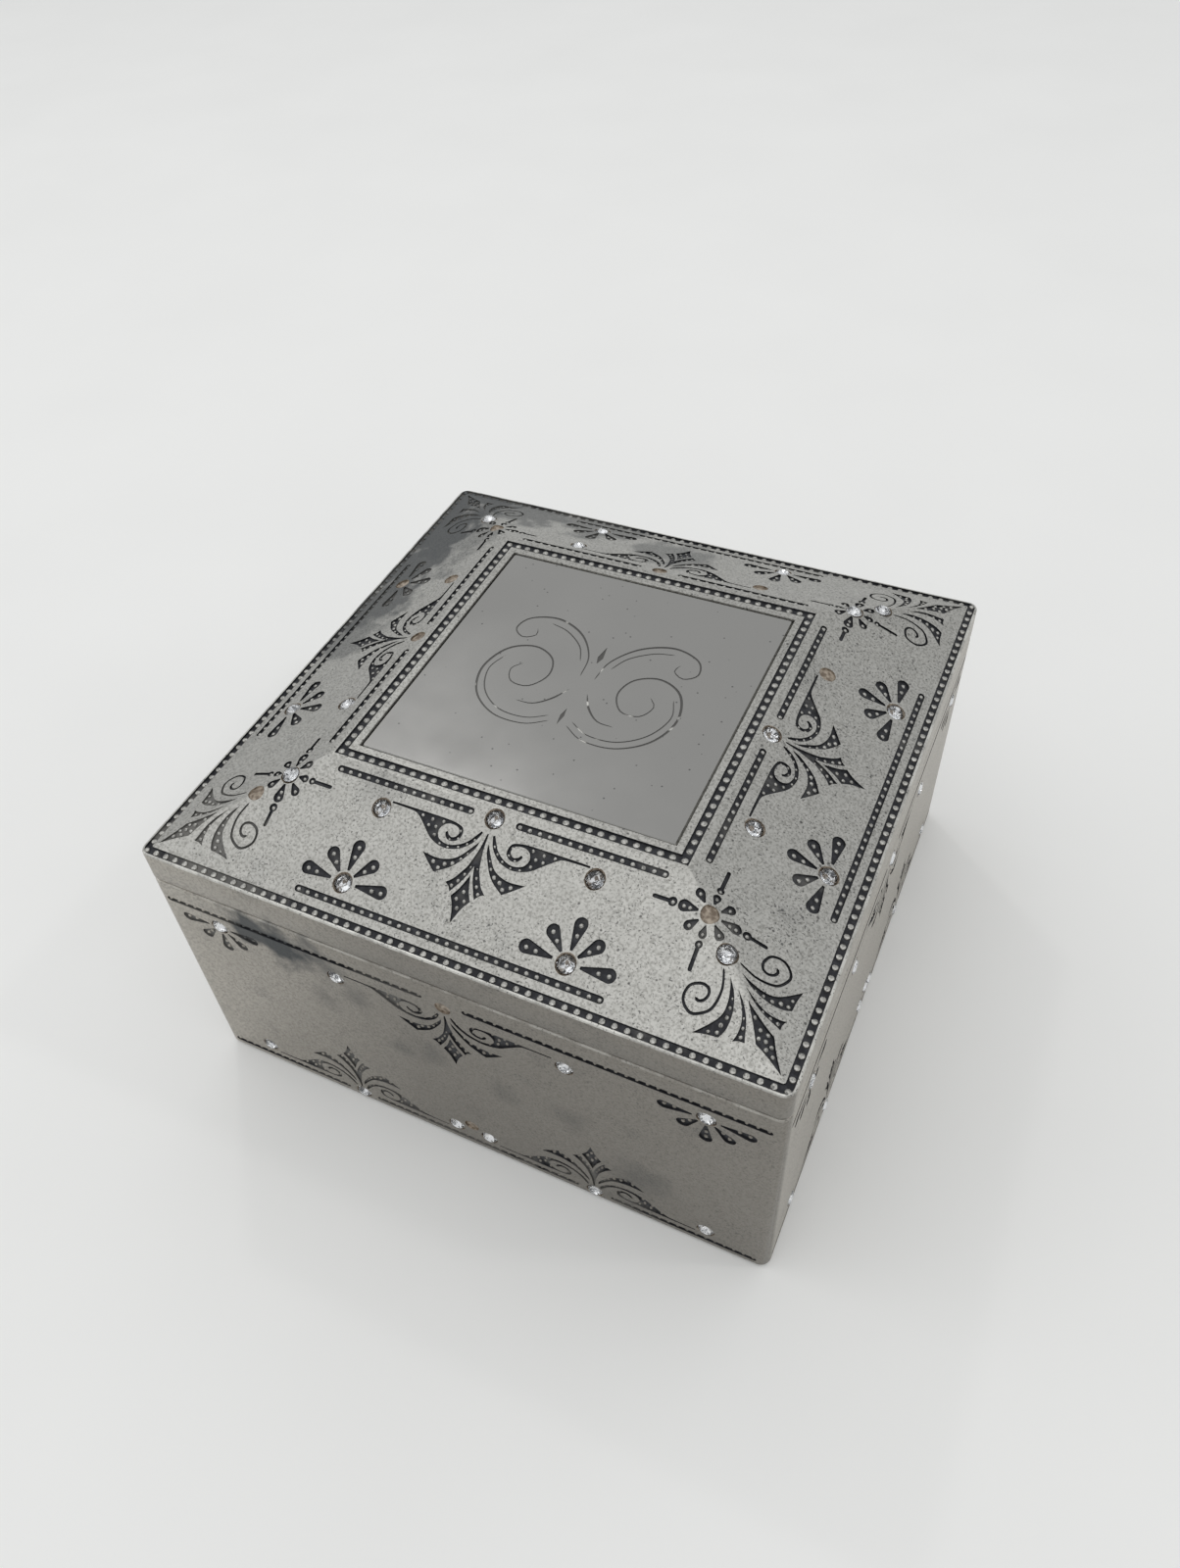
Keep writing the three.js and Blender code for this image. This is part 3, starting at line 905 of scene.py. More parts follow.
@dataclass(frozen=True)
class Surface:
    """A material with the box's own coordinates, and the masks that the finishes share."""

    material: Material
    place: NodeSocket

    @classmethod
    def new(cls, name: str) -> Surface:
        """The surface of a new material."""
        material = bpy.data.materials.new(name)
        material.use_nodes = True
        material.node_tree.nodes.clear()
        return cls(material, add_node(material.node_tree, "ShaderNodeTexCoord").outputs["Object"])

    @property
    def tree(self) -> NodeTree:
        """The material's nodes."""
        return self.material.node_tree

    def shaded(self, inputs: Mapping[str | int, object]) -> Material:
        """The material, finished with a principled shader that has the given inputs."""
        shader = add_node(self.tree, "ShaderNodeBsdfPrincipled", inputs)
        add_node(self.tree, "ShaderNodeOutputMaterial", {"Surface": shader.outputs["BSDF"]})
        return self.material

    def stretched(self, **settings: tuple[float, float, float]) -> Surface:
        """The same material with its patterns turned and stretched."""
        mapping = add_node(self.tree, "ShaderNodeMapping", {"Vector": self.place, **settings})
        return Surface(self.material, mapping.outputs["Vector"])

    def cells(self, size: float) -> NodeSocket:
        """The distance to the nearest of scattered points, in cells of the given size in mm."""
        inputs = {"Vector": self.place, "Scale": per_metre(size)}
        return add_node(self.tree, "ShaderNodeTexVoronoi", inputs).outputs["Distance"]

    def noise(self, size: float, detail: float = 3.0) -> NodeSocket:
        """Noise with features of the given size in mm."""
        inputs = {"Vector": self.place, "Scale": per_metre(size), "Detail": detail}
        return add_node(self.tree, "ShaderNodeTexNoise", inputs).outputs["Fac"]

    def ramp(
        self, value: NodeSocket, start: float, end: float, low: float = 0.0, high: float = 1.0
    ) -> NodeSocket:
        """A value stretched so that start becomes low and end becomes high."""
        inputs = {"Value": value, "From Min": start, "From Max": end, "To Min": low, "To Max": high}
        return add_node(self.tree, "ShaderNodeMapRange", inputs).outputs["Result"]

    def maths(self, operation: str, *values: NodeSocket | float) -> NodeSocket:
        """The result of a sum or comparison."""
        node = add_node(self.tree, "ShaderNodeMath", dict(enumerate(values)), operation=operation)
        return node.outputs["Value"]

    def mix(
        self,
        share: NodeSocket | float,
        first: NodeSocket | str,
        second: NodeSocket | str,
    ) -> NodeSocket:
        """One colour turned into another by a share from 0 to 1. A colour is a socket or a hex value."""
        pair = [colour(one) if isinstance(one, str) else one for one in (first, second)]
        inputs = {"Factor": share, 6: pair[0], 7: pair[1]}
        return add_node(self.tree, "ShaderNodeMix", inputs, data_type="RGBA").outputs[2]

    def axes(self) -> tuple[NodeSocket, NodeSocket, NodeSocket]:
        """The place's X, Y and Z in metres."""
        split = add_node(self.tree, "ShaderNodeSeparateXYZ", {"Vector": self.place})
        return split.outputs["X"], split.outputs["Y"], split.outputs["Z"]

    def band(self, value: NodeSocket, low: float, high: float, soft: float) -> NodeSocket:
        """1 between two places in mm and 0 outside them, with soft edges."""
        rise = self.ramp(value, (low - soft) * MM, low * MM)
        fall = self.ramp(value, (high + soft) * MM, high * MM)
        return self.maths("MULTIPLY", rise, fall)

    def patches(self, clouds: Iterable[Cloud], ragged: NodeSocket) -> NodeSocket:
        """How far each place lies inside ragged clouds, from 0 to 1."""
        total: NodeSocket | float = 0.0
        raggedness, reach = 2.0, 2.05
        for cloud in clouds:
            centre = Vector((cloud.x, cloud.y, cloud.z)) * MM
            pair = {0: self.place, 1: centre}
            away = add_node(self.tree, "ShaderNodeVectorMath", pair, operation="DISTANCE")
            size = cloud.radius * MM
            broken = self.maths("MULTIPLY_ADD", ragged, raggedness * size, away.outputs["Value"])
            near = self.ramp(broken, reach * size, (reach - cloud.fade) * size, 0.0, cloud.strength)
            total = self.maths("MAXIMUM", total, near)
        return total

    def bump(
        self, height: NodeSocket, strength: float, rise: float, under: NodeSocket | None = None
    ) -> NodeSocket:
        """The normal of a surface with small relief, rise mm high."""
        inputs = {"Height": height, "Strength": strength, "Distance": rise * MM}
        if under is not None:
            inputs["Normal"] = under
        return add_node(self.tree, "ShaderNodeBump", inputs).outputs["Normal"]


@dataclass(frozen=True)
class AntiquePewter:
    """Die-cast zinc alloy, plated, blackened and rubbed back by hand.

    The lid's rubbed metal is a soft pale grey and the walls' metal is browner. The walls also
    have painted shade that makes them darker than the lid, most of all towards the front right.
    Both have a sandy grain and black pits. Tarnish lies in ragged blue-grey clouds, and the rim
    and the seam are worn bright.
    """

    envelope: Envelope
    metal: str = "b9b8b3"
    shade: str = "8f8e89"
    wall: str = "b7b2a9"
    # painted shade: the walls' colour where they darken towards the front right
    wall_dark: str = "8d8982"
    # painted shade: the walls' grain is darker than the lid's
    wall_shade: str = "6d6963"
    tarnish: str = "424649"
    pits: str = "2b2b2d"
    bright: str = "dddcd6"
    roughness: float = 0.4
    tarnish_clouds: tuple[Cloud, ...] = (
        Cloud(-53, 52, 59, 18, 0.85),
        Cloud(-52, 38, 60, 15, 0.85),
        Cloud(-51, 25, 60, 13, 0.8),
        Cloud(-52, 12, 60, 11, 0.75),
        Cloud(-50, 1, 60, 8, 0.5),
        Cloud(-42, 32, 62, 10, 0.4),
        Cloud(-38, 52, 60, 13, 0.6),
        Cloud(-20, 50, 60, 10, 0.5),
        Cloud(-2, 43, 61, 9, 0.45),
        Cloud(-29, -55, 45.5, 7, 0.95, 0.6),
        Cloud(-36, -55, 47, 5.5, 0.9, 0.5),
        Cloud(-21, -55, 44, 5, 0.55, 1.1),
        Cloud(-24, -55, 34, 4, 0.45, 1.3),
        Cloud(-17, -55, 38, 4, 0.45, 1.3),
        Cloud(-5, -55, 29, 4, 0.5, 1.3),
        Cloud(-10, -55, 27, 3.5, 0.45, 1.3),
        Cloud(9, -55, 26, 4, 0.35, 1.3),
        Cloud(20, -55, 26, 5, 0.4, 1.3),
        Cloud(32, -55, 15, 6.5, 0.6, 1.3),
    )

    def material(self) -> Material:
        """Builds the material."""
        on = Surface.new("antique_pewter_rubbed")
        drift = on.noise(9, 4.0)
        grain = on.noise(0.42, 3.0)
        mottle = on.noise(2.6, 4.0)
        clouds = on.patches(self.tarnish_clouds, on.noise(5, 6.0))
        tone = self.rubbed(on, mottle, grain)
        tone = on.mix(on.maths("MAXIMUM", clouds, on.ramp(drift, 0.6, 0.85, 0.0, 0.35)), tone, self.tarnish)
        tone = on.mix(self.wear(on), tone, self.bright)
        tone = on.mix(self.pitting(on, drift), tone, self.pits)
        relief = on.bump(mottle, 0.3, 0.1, on.bump(grain, 0.5, 0.035))
        return on.shaded(
            {"Base Color": tone, "Metallic": 0.9, "Normal": relief,
             "Roughness": on.ramp(clouds, 0.0, 1.0, self.roughness, self.roughness + 0.12)}
        )

    def rubbed(self, on: Surface, mottle: NodeSocket, grain: NodeSocket) -> NodeSocket:
        """The clean metal's colour: on the lid's top, and below it browner and darker with painted shade."""
        x, y, z = on.axes()
        # painted shade: the front wall grows darker towards its right end
        front = on.ramp(y, -53.5 * MM, -54.5 * MM)
        front_right_painted_shade = on.maths("MULTIPLY", front, on.ramp(x, -54 * MM, -8 * MM))
        sand = on.ramp(grain, 0.42, 0.64, 0.0, 0.85)
        soft = on.ramp(mottle, 0.4, 0.7, 0.0, 0.3)
        rough = on.maths("MAXIMUM", sand, soft)
        top = on.mix(rough, self.metal, self.shade)
        smooth = on.maths("MULTIPLY", rough, 0.6)
        side = on.mix(smooth, on.mix(front_right_painted_shade, self.wall, self.wall_dark), self.wall_shade)
        # below the rim the walls take their own colours: browner, and darker with painted shade
        below = on.ramp(z, (self.envelope.rim - 0.1) * MM, (self.envelope.rim - 0.35) * MM)
        return on.mix(below, top, side)

    def wear(self, on: Surface) -> NodeSocket:
        """How bright the raised edges are rubbed: the lid's rim and both lips of the seam."""
        x, y, z = on.axes()
        e = self.envelope
        reach = on.maths("MAXIMUM", on.maths("ABSOLUTE", x),
                         on.maths("ABSOLUTE", on.maths("SUBTRACT", y, e.middle_y * MM)))
        lip = on.ramp(reach, (e.half - 0.5) * MM, (e.half - 0.4) * MM)
        rim = on.maths("MULTIPLY", lip, on.band(z, e.rim - 0.3, e.rim + 0.02, 0.08))
        seam = on.band(z, e.seam - 0.5, e.seam + 0.4, 0.1)
        patchy = on.ramp(on.noise(3.5, 5.0), 0.42, 0.6, 0.15, 0.75)
        return on.maths("MULTIPLY", patchy, on.maths("MAXIMUM", rim, on.maths("MULTIPLY", seam, 0.45)))

    def pitting(self, on: Surface, drift: NodeSocket) -> NodeSocket:
        """Small black pits, from 0 to 1, closer together where drift is high and to the right."""
        x, _, z = on.axes()
        to_the_right = on.ramp(x, -0.05, 0.05, -0.025, 0.015)
        crowd = on.maths("ADD", on.ramp(drift, 0.35, 0.65, -0.03, 0.03), to_the_right)
        fine = on.ramp(on.maths("ADD", on.noise(0.32, 1.5), crowd), 0.63, 0.69)
        coarse = on.ramp(on.maths("SUBTRACT", on.cells(2.0), crowd), 0.11, 0.08)
        most = on.ramp(z, (self.envelope.rim - 0.4) * MM, self.envelope.rim * MM, 0.4, 0.68)
        return on.maths("MULTIPLY", on.maths("MAXIMUM", fine, coarse), most)


@dataclass(frozen=True)
class BlackenedGround:
    """The sunk ground of the ornament: black patina, rubbed thin in places."""

    dark: str = "1f2024"
    light: str = "3f4044"
    rubbed: str = "83817c"
    roughness: float = 0.55
    rubbed_patches: tuple[Cloud, ...] = (
        Cloud(-47, -47, 59, 10, 0.6),
        Cloud(-40, -54, 58, 12, 0.45),
        Cloud(-53, 46, 60, 22, 0.5),
        Cloud(-52, 18, 60, 14, 0.4),
        Cloud(-24, 48, 61, 14, 0.4),
        Cloud(-24, -55, 4, 16, 0.45),
        Cloud(24, -55, 2, 10, 0.6),
        Cloud(0, -55, 4, 12, 0.7),
        Cloud(-46, -55, 42, 10, 0.5),
        Cloud(-10, -55, 45, 7, 0.45),
        Cloud(37, -38, 61, 5, 0.35),
    )

    def material(self) -> Material:
        """Builds the material."""
        on = Surface.new("antique_pewter_blackened")
        grime = on.noise(0.9, 4.0)
        tint = on.mix(on.ramp(grime, 0.45, 0.75, 0.0, 0.8), self.dark, self.light)
        thin = on.maths("MAXIMUM", on.patches(self.rubbed_patches, on.noise(4, 6.0)),
                        on.ramp(on.noise(6, 4.0), 0.58, 0.8, 0.0, 0.5))
        return on.shaded(
            {"Base Color": on.mix(thin, tint, self.rubbed), "Metallic": 0.45, "Roughness": self.roughness,
             "Normal": on.bump(grime, 0.5, 0.05)}
        )


@dataclass(frozen=True)
class DriedGlue:
    """Old clear cement in the sockets, gone brown and dusty."""

    pale: str = "a5998a"
    dark: str = "6b5e50"

    def material(self) -> Material:
        """Builds the material."""
        on = Surface.new("dried_stone_cement")
        crust = on.noise(0.8, 5.0)
        return on.shaded(
            {"Base Color": on.mix(on.ramp(crust, 0.4, 0.62), self.dark, self.pale), "Metallic": 0.2,
             "Roughness": 0.45, "Normal": on.bump(crust, 0.7, 0.15)}
        )


@dataclass(frozen=True)
class PolishedPlate:
    """The nickel plate in the lid: nearly a mirror, with dust specks and faint hairlines."""

    metal: str = "a3a29f"
    specks: str = "4a4a4a"
    roughness: float = 0.16

    def material(self) -> Material:
        """Builds the material."""
        on = Surface.new("nickel_plate_polished")
        dot = on.ramp(on.cells(2.4), 0.05, 0.085, 0.7, 0.0)
        hairs = on.stretched(Rotation=(0, 0, 0.4), Scale=(1, 0.04, 1)).noise(0.5, 2.0)
        return on.shaded(
            {"Base Color": on.mix(dot, self.metal, self.specks), "Metallic": 1.0,
             "Roughness": on.ramp(on.noise(16), 0.3, 0.7, self.roughness, self.roughness + 0.08),
             "Normal": on.bump(hairs, 0.04, 0.01)}
        )


@dataclass(frozen=True)
class GraverCut:
    """A line that a hand graver has cut in the plate: dark, with painted highlights in patches along it."""

    # the colour of the painted highlights
    metal: str = "cfcec9"
    shade: str = "5e5d5b"

    def material(self) -> Material:
        """Builds the material."""
        on = Surface.new("nickel_plate_engraved")
        # painted highlight: patches of bright colour along the dark cut
        tint = on.mix(on.ramp(on.noise(3.5, 2.0), 0.63, 0.7), self.shade, self.metal)
        return on.shaded(
            {"Base Color": tint, "Metallic": 1.0, "Roughness": 0.4}
        )


@dataclass(frozen=True)
class LeadCrystal:
    """Pressed lead glass, clear and bright, with the index of a common rhinestone."""

    body: str = "fdfdfd"
    index: float = 1.6

    def material(self) -> Material:
        """Builds the material."""
        on = Surface.new("lead_crystal_cut")
        return on.shaded(
            {"Base Color": colour(self.body), "Roughness": on.ramp(on.noise(0.5, 2.0), 0.5, 0.8, 0.0, 0.12),
             "IOR": self.index, "Transmission Weight": 1.0}
        )


@dataclass(frozen=True)
class MirrorFoil:
    """The silver foil behind a rhinestone, bright where it still sticks and grey where not."""

    silver: str = "f4f5f6"
    dull: str = "5e6064"

    def material(self) -> Material:
        """Builds the material."""
        on = Surface.new("silver_foil_back")
        return on.shaded(
            {"Base Color": on.mix(on.ramp(on.noise(0.8), 0.52, 0.62), self.silver, self.dull),
             "Metallic": 1.0,
             "Roughness": on.ramp(on.noise(0.8, 2.0), 0.0, 1.0, 0.02, 0.14)}
        )


@dataclass(frozen=True)
class Pile:
    """A cloth with a short pile, such as velvet or felt: dark, with a soft pale sheen."""

    name: str
    deep: str
    tip: str
    fibre: float
    sheen: float

    def material(self) -> Material:
        """Builds the material."""
        on = Surface.new(self.name)
        tufts = on.noise(self.fibre, 4.0)
        share = on.ramp(on.maths("MULTIPLY", tufts, on.noise(14)), 0.15, 0.4)
        return on.shaded(
            {"Base Color": on.mix(share, self.deep, self.tip), "Roughness": 0.92, "Sheen Weight": self.sheen,
             "Sheen Roughness": 0.4, "Specular IOR Level": 0.2, "Normal": on.bump(tufts, 0.8, 0.25)}
        )


@dataclass(frozen=True)
class HingeSteel:
    """Bright rolled steel strip, satin from the roller, with fine lines along the hinge."""

    metal: str = "a7a59d"
    dull: str = "6d6a62"

    def material(self) -> Material:
        """Builds the material."""
        on = Surface.new("rolled_steel_satin")
        lines = on.stretched(Scale=(0.05, 1, 1)).noise(0.3)
        stain = on.ramp(on.noise(2.5, 4.0), 0.5, 0.75, 0.0, 0.8)
        return on.shaded(
            {"Base Color": on.mix(stain, self.metal, self.dull), "Metallic": 1.0,
             "Roughness": on.ramp(lines, 0.0, 1.0, 0.22, 0.45), "Normal": on.bump(lines, 0.2, 0.02)}
        )


@dataclass(frozen=True)
class StudioPaint:
    """The pale matt floor that the box stands on."""

    paint: str = "f3f3f1"
    grey: str = "eeeeec"

    def material(self) -> Material:
        """Builds the material."""
        on = Surface.new("studio_floor_matt_paint")
        return on.shaded(
            {"Base Color": on.mix(on.noise(60, 2.0), self.paint, self.grey), "Roughness": 0.9,
             "Specular IOR Level": 0.1}
        )


# ---------------------------------------------------------------- pieces


@dataclass(frozen=True)
class Piece:
    """What a finished mesh is called, what it rides on and what it stands for."""

    name: str
    body: str
    slot: Slot
    stands_for: tuple[str, ...] = ()


def linked(name: str, data: bpy.types.ID) -> Object:
    """A new object in the scene, round the given data."""
    obj = bpy.data.objects.new(name, data)
    bpy.context.scene.collection.objects.link(obj)
    return obj


def finished(
    bm: BMesh,
    piece: Piece,
    materials: Sequence[Material],
    crease: float = 32,
) -> Object:
    """Turns a mesh in mm into a piece of the box.

    Args:
        bm: The mesh, which is freed.
        piece: Its name, body and the CAD parts that it stands for.
        materials: Its materials, in the order of its faces' material indices.
        crease: The angle in degrees past which an edge is sharp.

    Returns:
        The new object.
    """
    bmesh.ops.recalc_face_normals(bm, faces=bm.faces[:])
    for face in bm.faces:
        face.smooth = True
    for edge in bm.edges:
        edge.smooth = not edge.is_manifold or edge.calc_face_angle() < math.radians(crease)
    loose = sum(not edge.is_manifold for edge in bm.edges)
    bmesh.ops.scale(bm, vec=(MM, MM, MM), verts=bm.verts[:])
    mesh = bpy.data.meshes.new(piece.name)
    bm.to_mesh(mesh)
    bm.free()
    obj = linked(piece.name, mesh)
    for material in materials:
        mesh.materials.append(material)
    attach(obj, piece.body)
    if piece.stands_for:
        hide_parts(*piece.stands_for)
    LOG.info("%s: %d faces, %d open edges", piece.name, len(mesh.polygons), loose)
    return obj


@dataclass(frozen=True)
class CastingFinishes:
    """The three finishes of a casting, in the order that Metal gives."""

    worn: Material
    blackened: Material
    glued: Material

    def in_order(self) -> list[Material]:
        """The materials by Metal's values."""
        return [self.worn, self.blackened, self.glued]


@dataclass(frozen=True)
class BeadChannel:
    """A sunk channel with a row of beads in it."""

    width: float
    pitch: float
    bead: float
    end_gap: float = 0.1

    def slot(self, start: float, end: float, y: float) -> Motif:
        """A straight channel along X with round ends."""
        inner = self.width / 2 + self.end_gap
        beads = beads_between(start + inner, end - inner, y, self.pitch, self.bead)
        return Motif([bar(start, end, y, self.width)], beads)


def cast(bm: BMesh, e: Envelope, piece: Piece, finishes: CastingFinishes) -> Object:
    """Finishes a casting whose mesh lies round the box's middle."""
    bmesh.ops.translate(bm, vec=(0, e.middle_y, 0), verts=bm.verts[:])
    return finished(bm, piece, finishes.in_order())


@dataclass(frozen=True)
class LidCasting:
    """The lid: four sloping faces round a flat frame, with a plain side band."""

    envelope: Envelope
    stones: StonePlaces
    depth: float = 0.34
    lip: float = 0.28
    rim_channel: tuple[float, float] = (0.42, 1.75)
    rim_beads: float = 1.08
    frame_channel: tuple[float, float] = (24.45, 26.1)
    frame_beads: float = 25.27
    opening: float = 27.3
    opening_floor: float = 65.8
    opening_chamfer: float = 0.08
    inner_rim_corner: float = 0.35
    ceiling: float = 63.35
    rim_bead: BeadChannel = BeadChannel(1.4, 1.93, 0.54)
    frame_bead: BeadChannel = BeadChannel(1.6, 1.92, 0.6)
    slot_bead: BeadChannel = BeadChannel(1.1, 1.65, 0.39)
    foot: float = 0.4

    def side_motif(self) -> Motif:
        """The ornament of one sloping face: x along the edge, y in from it."""
        short = self.slot_bead.slot(3.6, 28.5, 22.2)
        long = self.slot_bead.slot(-26.2, 26.2, 3.53)
        palmette = Palmette().motif().moved(placed(0, 19.8, 180))
        daisy = HalfDaisy().motif()
        daisies = [daisy.moved(placed(x, y)) for x, y in (self.stones.lid_side["daisy_left"],
                                                          self.stones.lid_side["daisy_right"])]
        return joined([short.with_mirror(), long, palmette, *daisies])

    def corner_motif(self) -> Motif:
        """The ornament of one corner: x and y in from its two edges."""
        star = self.stones.lid_corner["star"]
        return joined([CornerFan().motif(), Star().motif().moved(placed(star, star, 90))])

    def ornament(self) -> Motif:
        """All the ornament in the lid's plan, except the channels that run right round."""
        shift = Matrix.Translation((0, -self.envelope.half, 0))
        corner_shift = Matrix.Translation((-self.envelope.half, -self.envelope.half, 0))
        sides = [self.side_motif().moved(side.turn @ shift) for side in Side]
        corners = [self.corner_motif().moved(corner.turn @ corner_shift) for corner in Corner]
        return joined(sides + corners)

    def sockets(self) -> dict[str, Vector]:
        """Every stone's place in the lid's plan, by name."""
        half = self.envelope.half
        places = {}
        for side in Side:
            for name, (across, inset) in self.stones.lid_side.items():
                spot = side.turn @ Vector((across, inset - half, 0))
                places[f"{side.name.lower()}_{name}"] = spot.to_2d()
        for corner in Corner:
            for name, inset in self.stones.lid_corner.items():
                spot = corner.turn @ Vector((inset - half, inset - half, 0))
                places[f"corner_{corner.name.lower()}_{name}"] = spot.to_2d()
        return places

    def round_beads(self, inset: float, channel: BeadChannel) -> list[Bead]:
        """A row of beads right round the lid, with one in each corner."""
        reach = self.envelope.half - inset
        row = beads_between(-reach, reach, -reach, channel.pitch, channel.bead)[:-1]
        beads = []
        for side in Side:
            turned = Motif(beads=row).moved(side.turn)
            beads.extend(turned.beads)
        return beads

    def top_sheet(self) -> Sheet:
        """The top, flat, with its ornament sunk and its beads in place."""
        sheet = Sheet(self.depth)
        half = self.envelope.half
        radius = self.envelope.corner_radius
        border = sheet.ring(rounded_square(half - self.lip, radius - self.lip))
        rim_out = sheet.ring(rounded_square(half - self.rim_channel[0], radius - self.rim_channel[0]))
        rim_in = sheet.ring(rounded_square(half - self.rim_channel[1], self.inner_rim_corner))
        frame_out = sheet.ring(rounded_square(half - self.frame_channel[0], 0))
        frame_in = sheet.ring(rounded_square(half - self.frame_channel[1], 0))
        opening = sheet.ring(rounded_square(half - self.opening, 0))
        ornament = self.ornament()
        sunk, holes = sheet.trace(ornament, self.sockets(), self.stones.lost)
        sheet.fill([border, rim_out], Metal.WORN)
        sheet.fill([rim_in, frame_out, *sunk, *holes.values()], Metal.WORN)
        sheet.fill([frame_in, opening], Metal.WORN)
        sheet.sink([rim_out], [rim_in])
        sheet.sink([frame_out], [frame_in])
        sheet.carve(sunk, holes, self.stones.lost)
        bevel = self.opening_chamfer
        edge = sheet.lowered(opening, bevel, bevel, Metal.WORN)
        floor = sheet.lowered(edge, 0, self.envelope.plateau - self.opening_floor - bevel, Metal.WORN)
        sheet.fill([floor], Metal.WORN)
        sheet.add_beads(ornament.beads)
        sheet.add_beads(self.round_beads(self.rim_beads, self.rim_bead))
        sheet.add_beads(self.round_beads(self.frame_beads, self.frame_bead))
        return sheet

    def fold_top(self, sheet: Sheet) -> None:
        """Folds the flat top along its ridges and edges into a low hipped roof."""
        inner = self.envelope.half - self.envelope.slope_end
        outer = self.envelope.half - self.envelope.slope_start
        for slant in (1, -1):
            sheet.cut_flat(Vector((0, 0, 0)), Vector((1, slant, 0)))
        for reach in (inner, outer):
            for normal in (Vector((1, 0, 0)), Vector((-1, 0, 0)), Vector((0, 1, 0)), Vector((0, -1, 0))):
                sheet.cut_flat(normal * reach, normal)
        sheet.fold(lambda p: Vector((p.x, p.y, self.envelope.height(p.x, p.y) + p.z)))

    def mesh(self) -> BMesh:
        """The whole casting in mm."""
        e = self.envelope
        sheet = self.top_sheet()
        self.fold_top(sheet)
        bm = sheet.bm
        border = open_border(bm, lambda p: abs(p.z - e.rim) < 0.01)
        low = e.lid_bottom + self.foot
        previous = e.plan(self.lip)
        for inset, z in ((0.12, e.rim - 0.08), (0.03, e.rim - 0.2), (0.0, e.rim - 0.4), (0.0, low)):
            plan = e.plan(inset)

            def carry(p: Vector) -> Vector:
                """The vertex's place in this row."""
                return previous.carry(p, plan).xy.to_3d() + Vector((0, 0, z))

            border = extended(bm, border, carry)
            previous = plan
        notch_top = e.seam + e.notch_height
        cut_notch(bm, e, low - 1, notch_top)
        slope_drop = e.wall / math.cos(math.atan(e.slope))
        wall_top = e.rim + e.slope * (e.wall - e.slope_start) - slope_drop
        ceiling_inset = e.slope_start + (self.ceiling - e.rim + slope_drop) / e.slope
        rows = (
            (0.12, low - 0.28),
            (0.4, e.lid_bottom),
            (e.wall, e.lid_bottom),
            (e.wall, wall_top),
            (ceiling_inset, self.ceiling),
        )
        turned_over(bm, e, open_border(bm, lambda p: True), rows, notch_top)
        return bm

    def build(self, finishes: CastingFinishes) -> Object:
        """Builds the piece."""
        piece = Piece("lid_casting_cast", "lid", Slot.PEWTER, ("lid_casting",))
        return cast(self.mesh(), self.envelope, piece, finishes)


def cut_notch(bm: BMesh, e: Envelope, bottom: float, top: float) -> None:
    """Cuts the hinge barrel's notch out of the back of a casting's outer wall.

    Args:
        bm: The casting's outer skin, with an open border at the seam.
        e: The box's sizes.
        bottom: The notch's lower edge, or a height below the skin.
        top: The notch's upper edge, or a height above the skin.
    """

    skin = e.half - 0.5

    def back_faces() -> list[BMFace]:
        """The faces of the back wall that the notch could touch."""
        return [
            f for f in bm.faces
            if f.calc_center_median().y > skin and any(bottom < v.co.z < top for v in f.verts)
        ]

    planes = [((e.notch_half, 0, 0), (1, 0, 0)), ((-e.notch_half, 0, 0), (1, 0, 0)),
              ((0, 0, top), (0, 0, 1)), ((0, 0, bottom), (0, 0, 1))]
    for where, normal in planes:
        faces = back_faces()
        geometry = {*faces, *(v for f in faces for v in f.verts), *(ed for f in faces for ed in f.edges)}
        bmesh.ops.bisect_plane(bm, geom=list(geometry), dist=1e-4, plane_co=where, plane_no=normal)
    gone = [
        f for f in bm.faces
        if f.calc_center_median().y > skin
        and abs(f.calc_center_median().x) < e.notch_half
        and bottom < f.calc_center_median().z < top
    ]
    bmesh.ops.delete(bm, geom=gone, context="FACES")


def turned_over(
    bm: BMesh,
    e: Envelope,
    border: Sequence[BMEdge],
    rows: Sequence[tuple[float, float]],
    notch_z: float = math.inf,
) -> None:
    """Turns a casting's skin over its open edge, lines it with further rows and closes it.

    Args:
        bm: The outer skin.
        e: The box's sizes.
        border: The skin's open border, on the outside of the box.
        rows: How far in and at what height each new row of vertices lies.
        notch_z: The height of the border along the hinge notch, which its vertices keep
            until the last two rows.
    """
    plan = e.plan(0)
    for number, (inset, z) in enumerate(rows):
        target = e.plan(inset)
        level = math.isinf(notch_z) or number >= len(rows) - 2

        def carry(p: Vector) -> Vector:
            """The vertex's place in this row."""
            stays = not level and abs(p.z - notch_z) < 0.01
            return plan.carry(p, target).xy.to_3d() + Vector((0, 0, p.z if stays else z))

        border = extended(bm, border, carry)
        plan = target
    bmesh.ops.remove_doubles(bm, verts=list({v for edge in border for v in edge.verts}), dist=1e-3)
    last = rows[-1][1]
    rim = open_border(bm, lambda p: abs(p.z - last) < 1e-3)
    bmesh.ops.triangle_fill(bm, use_beauty=True, use_dissolve=False, edges=rim, normal=(0, 0, 1))


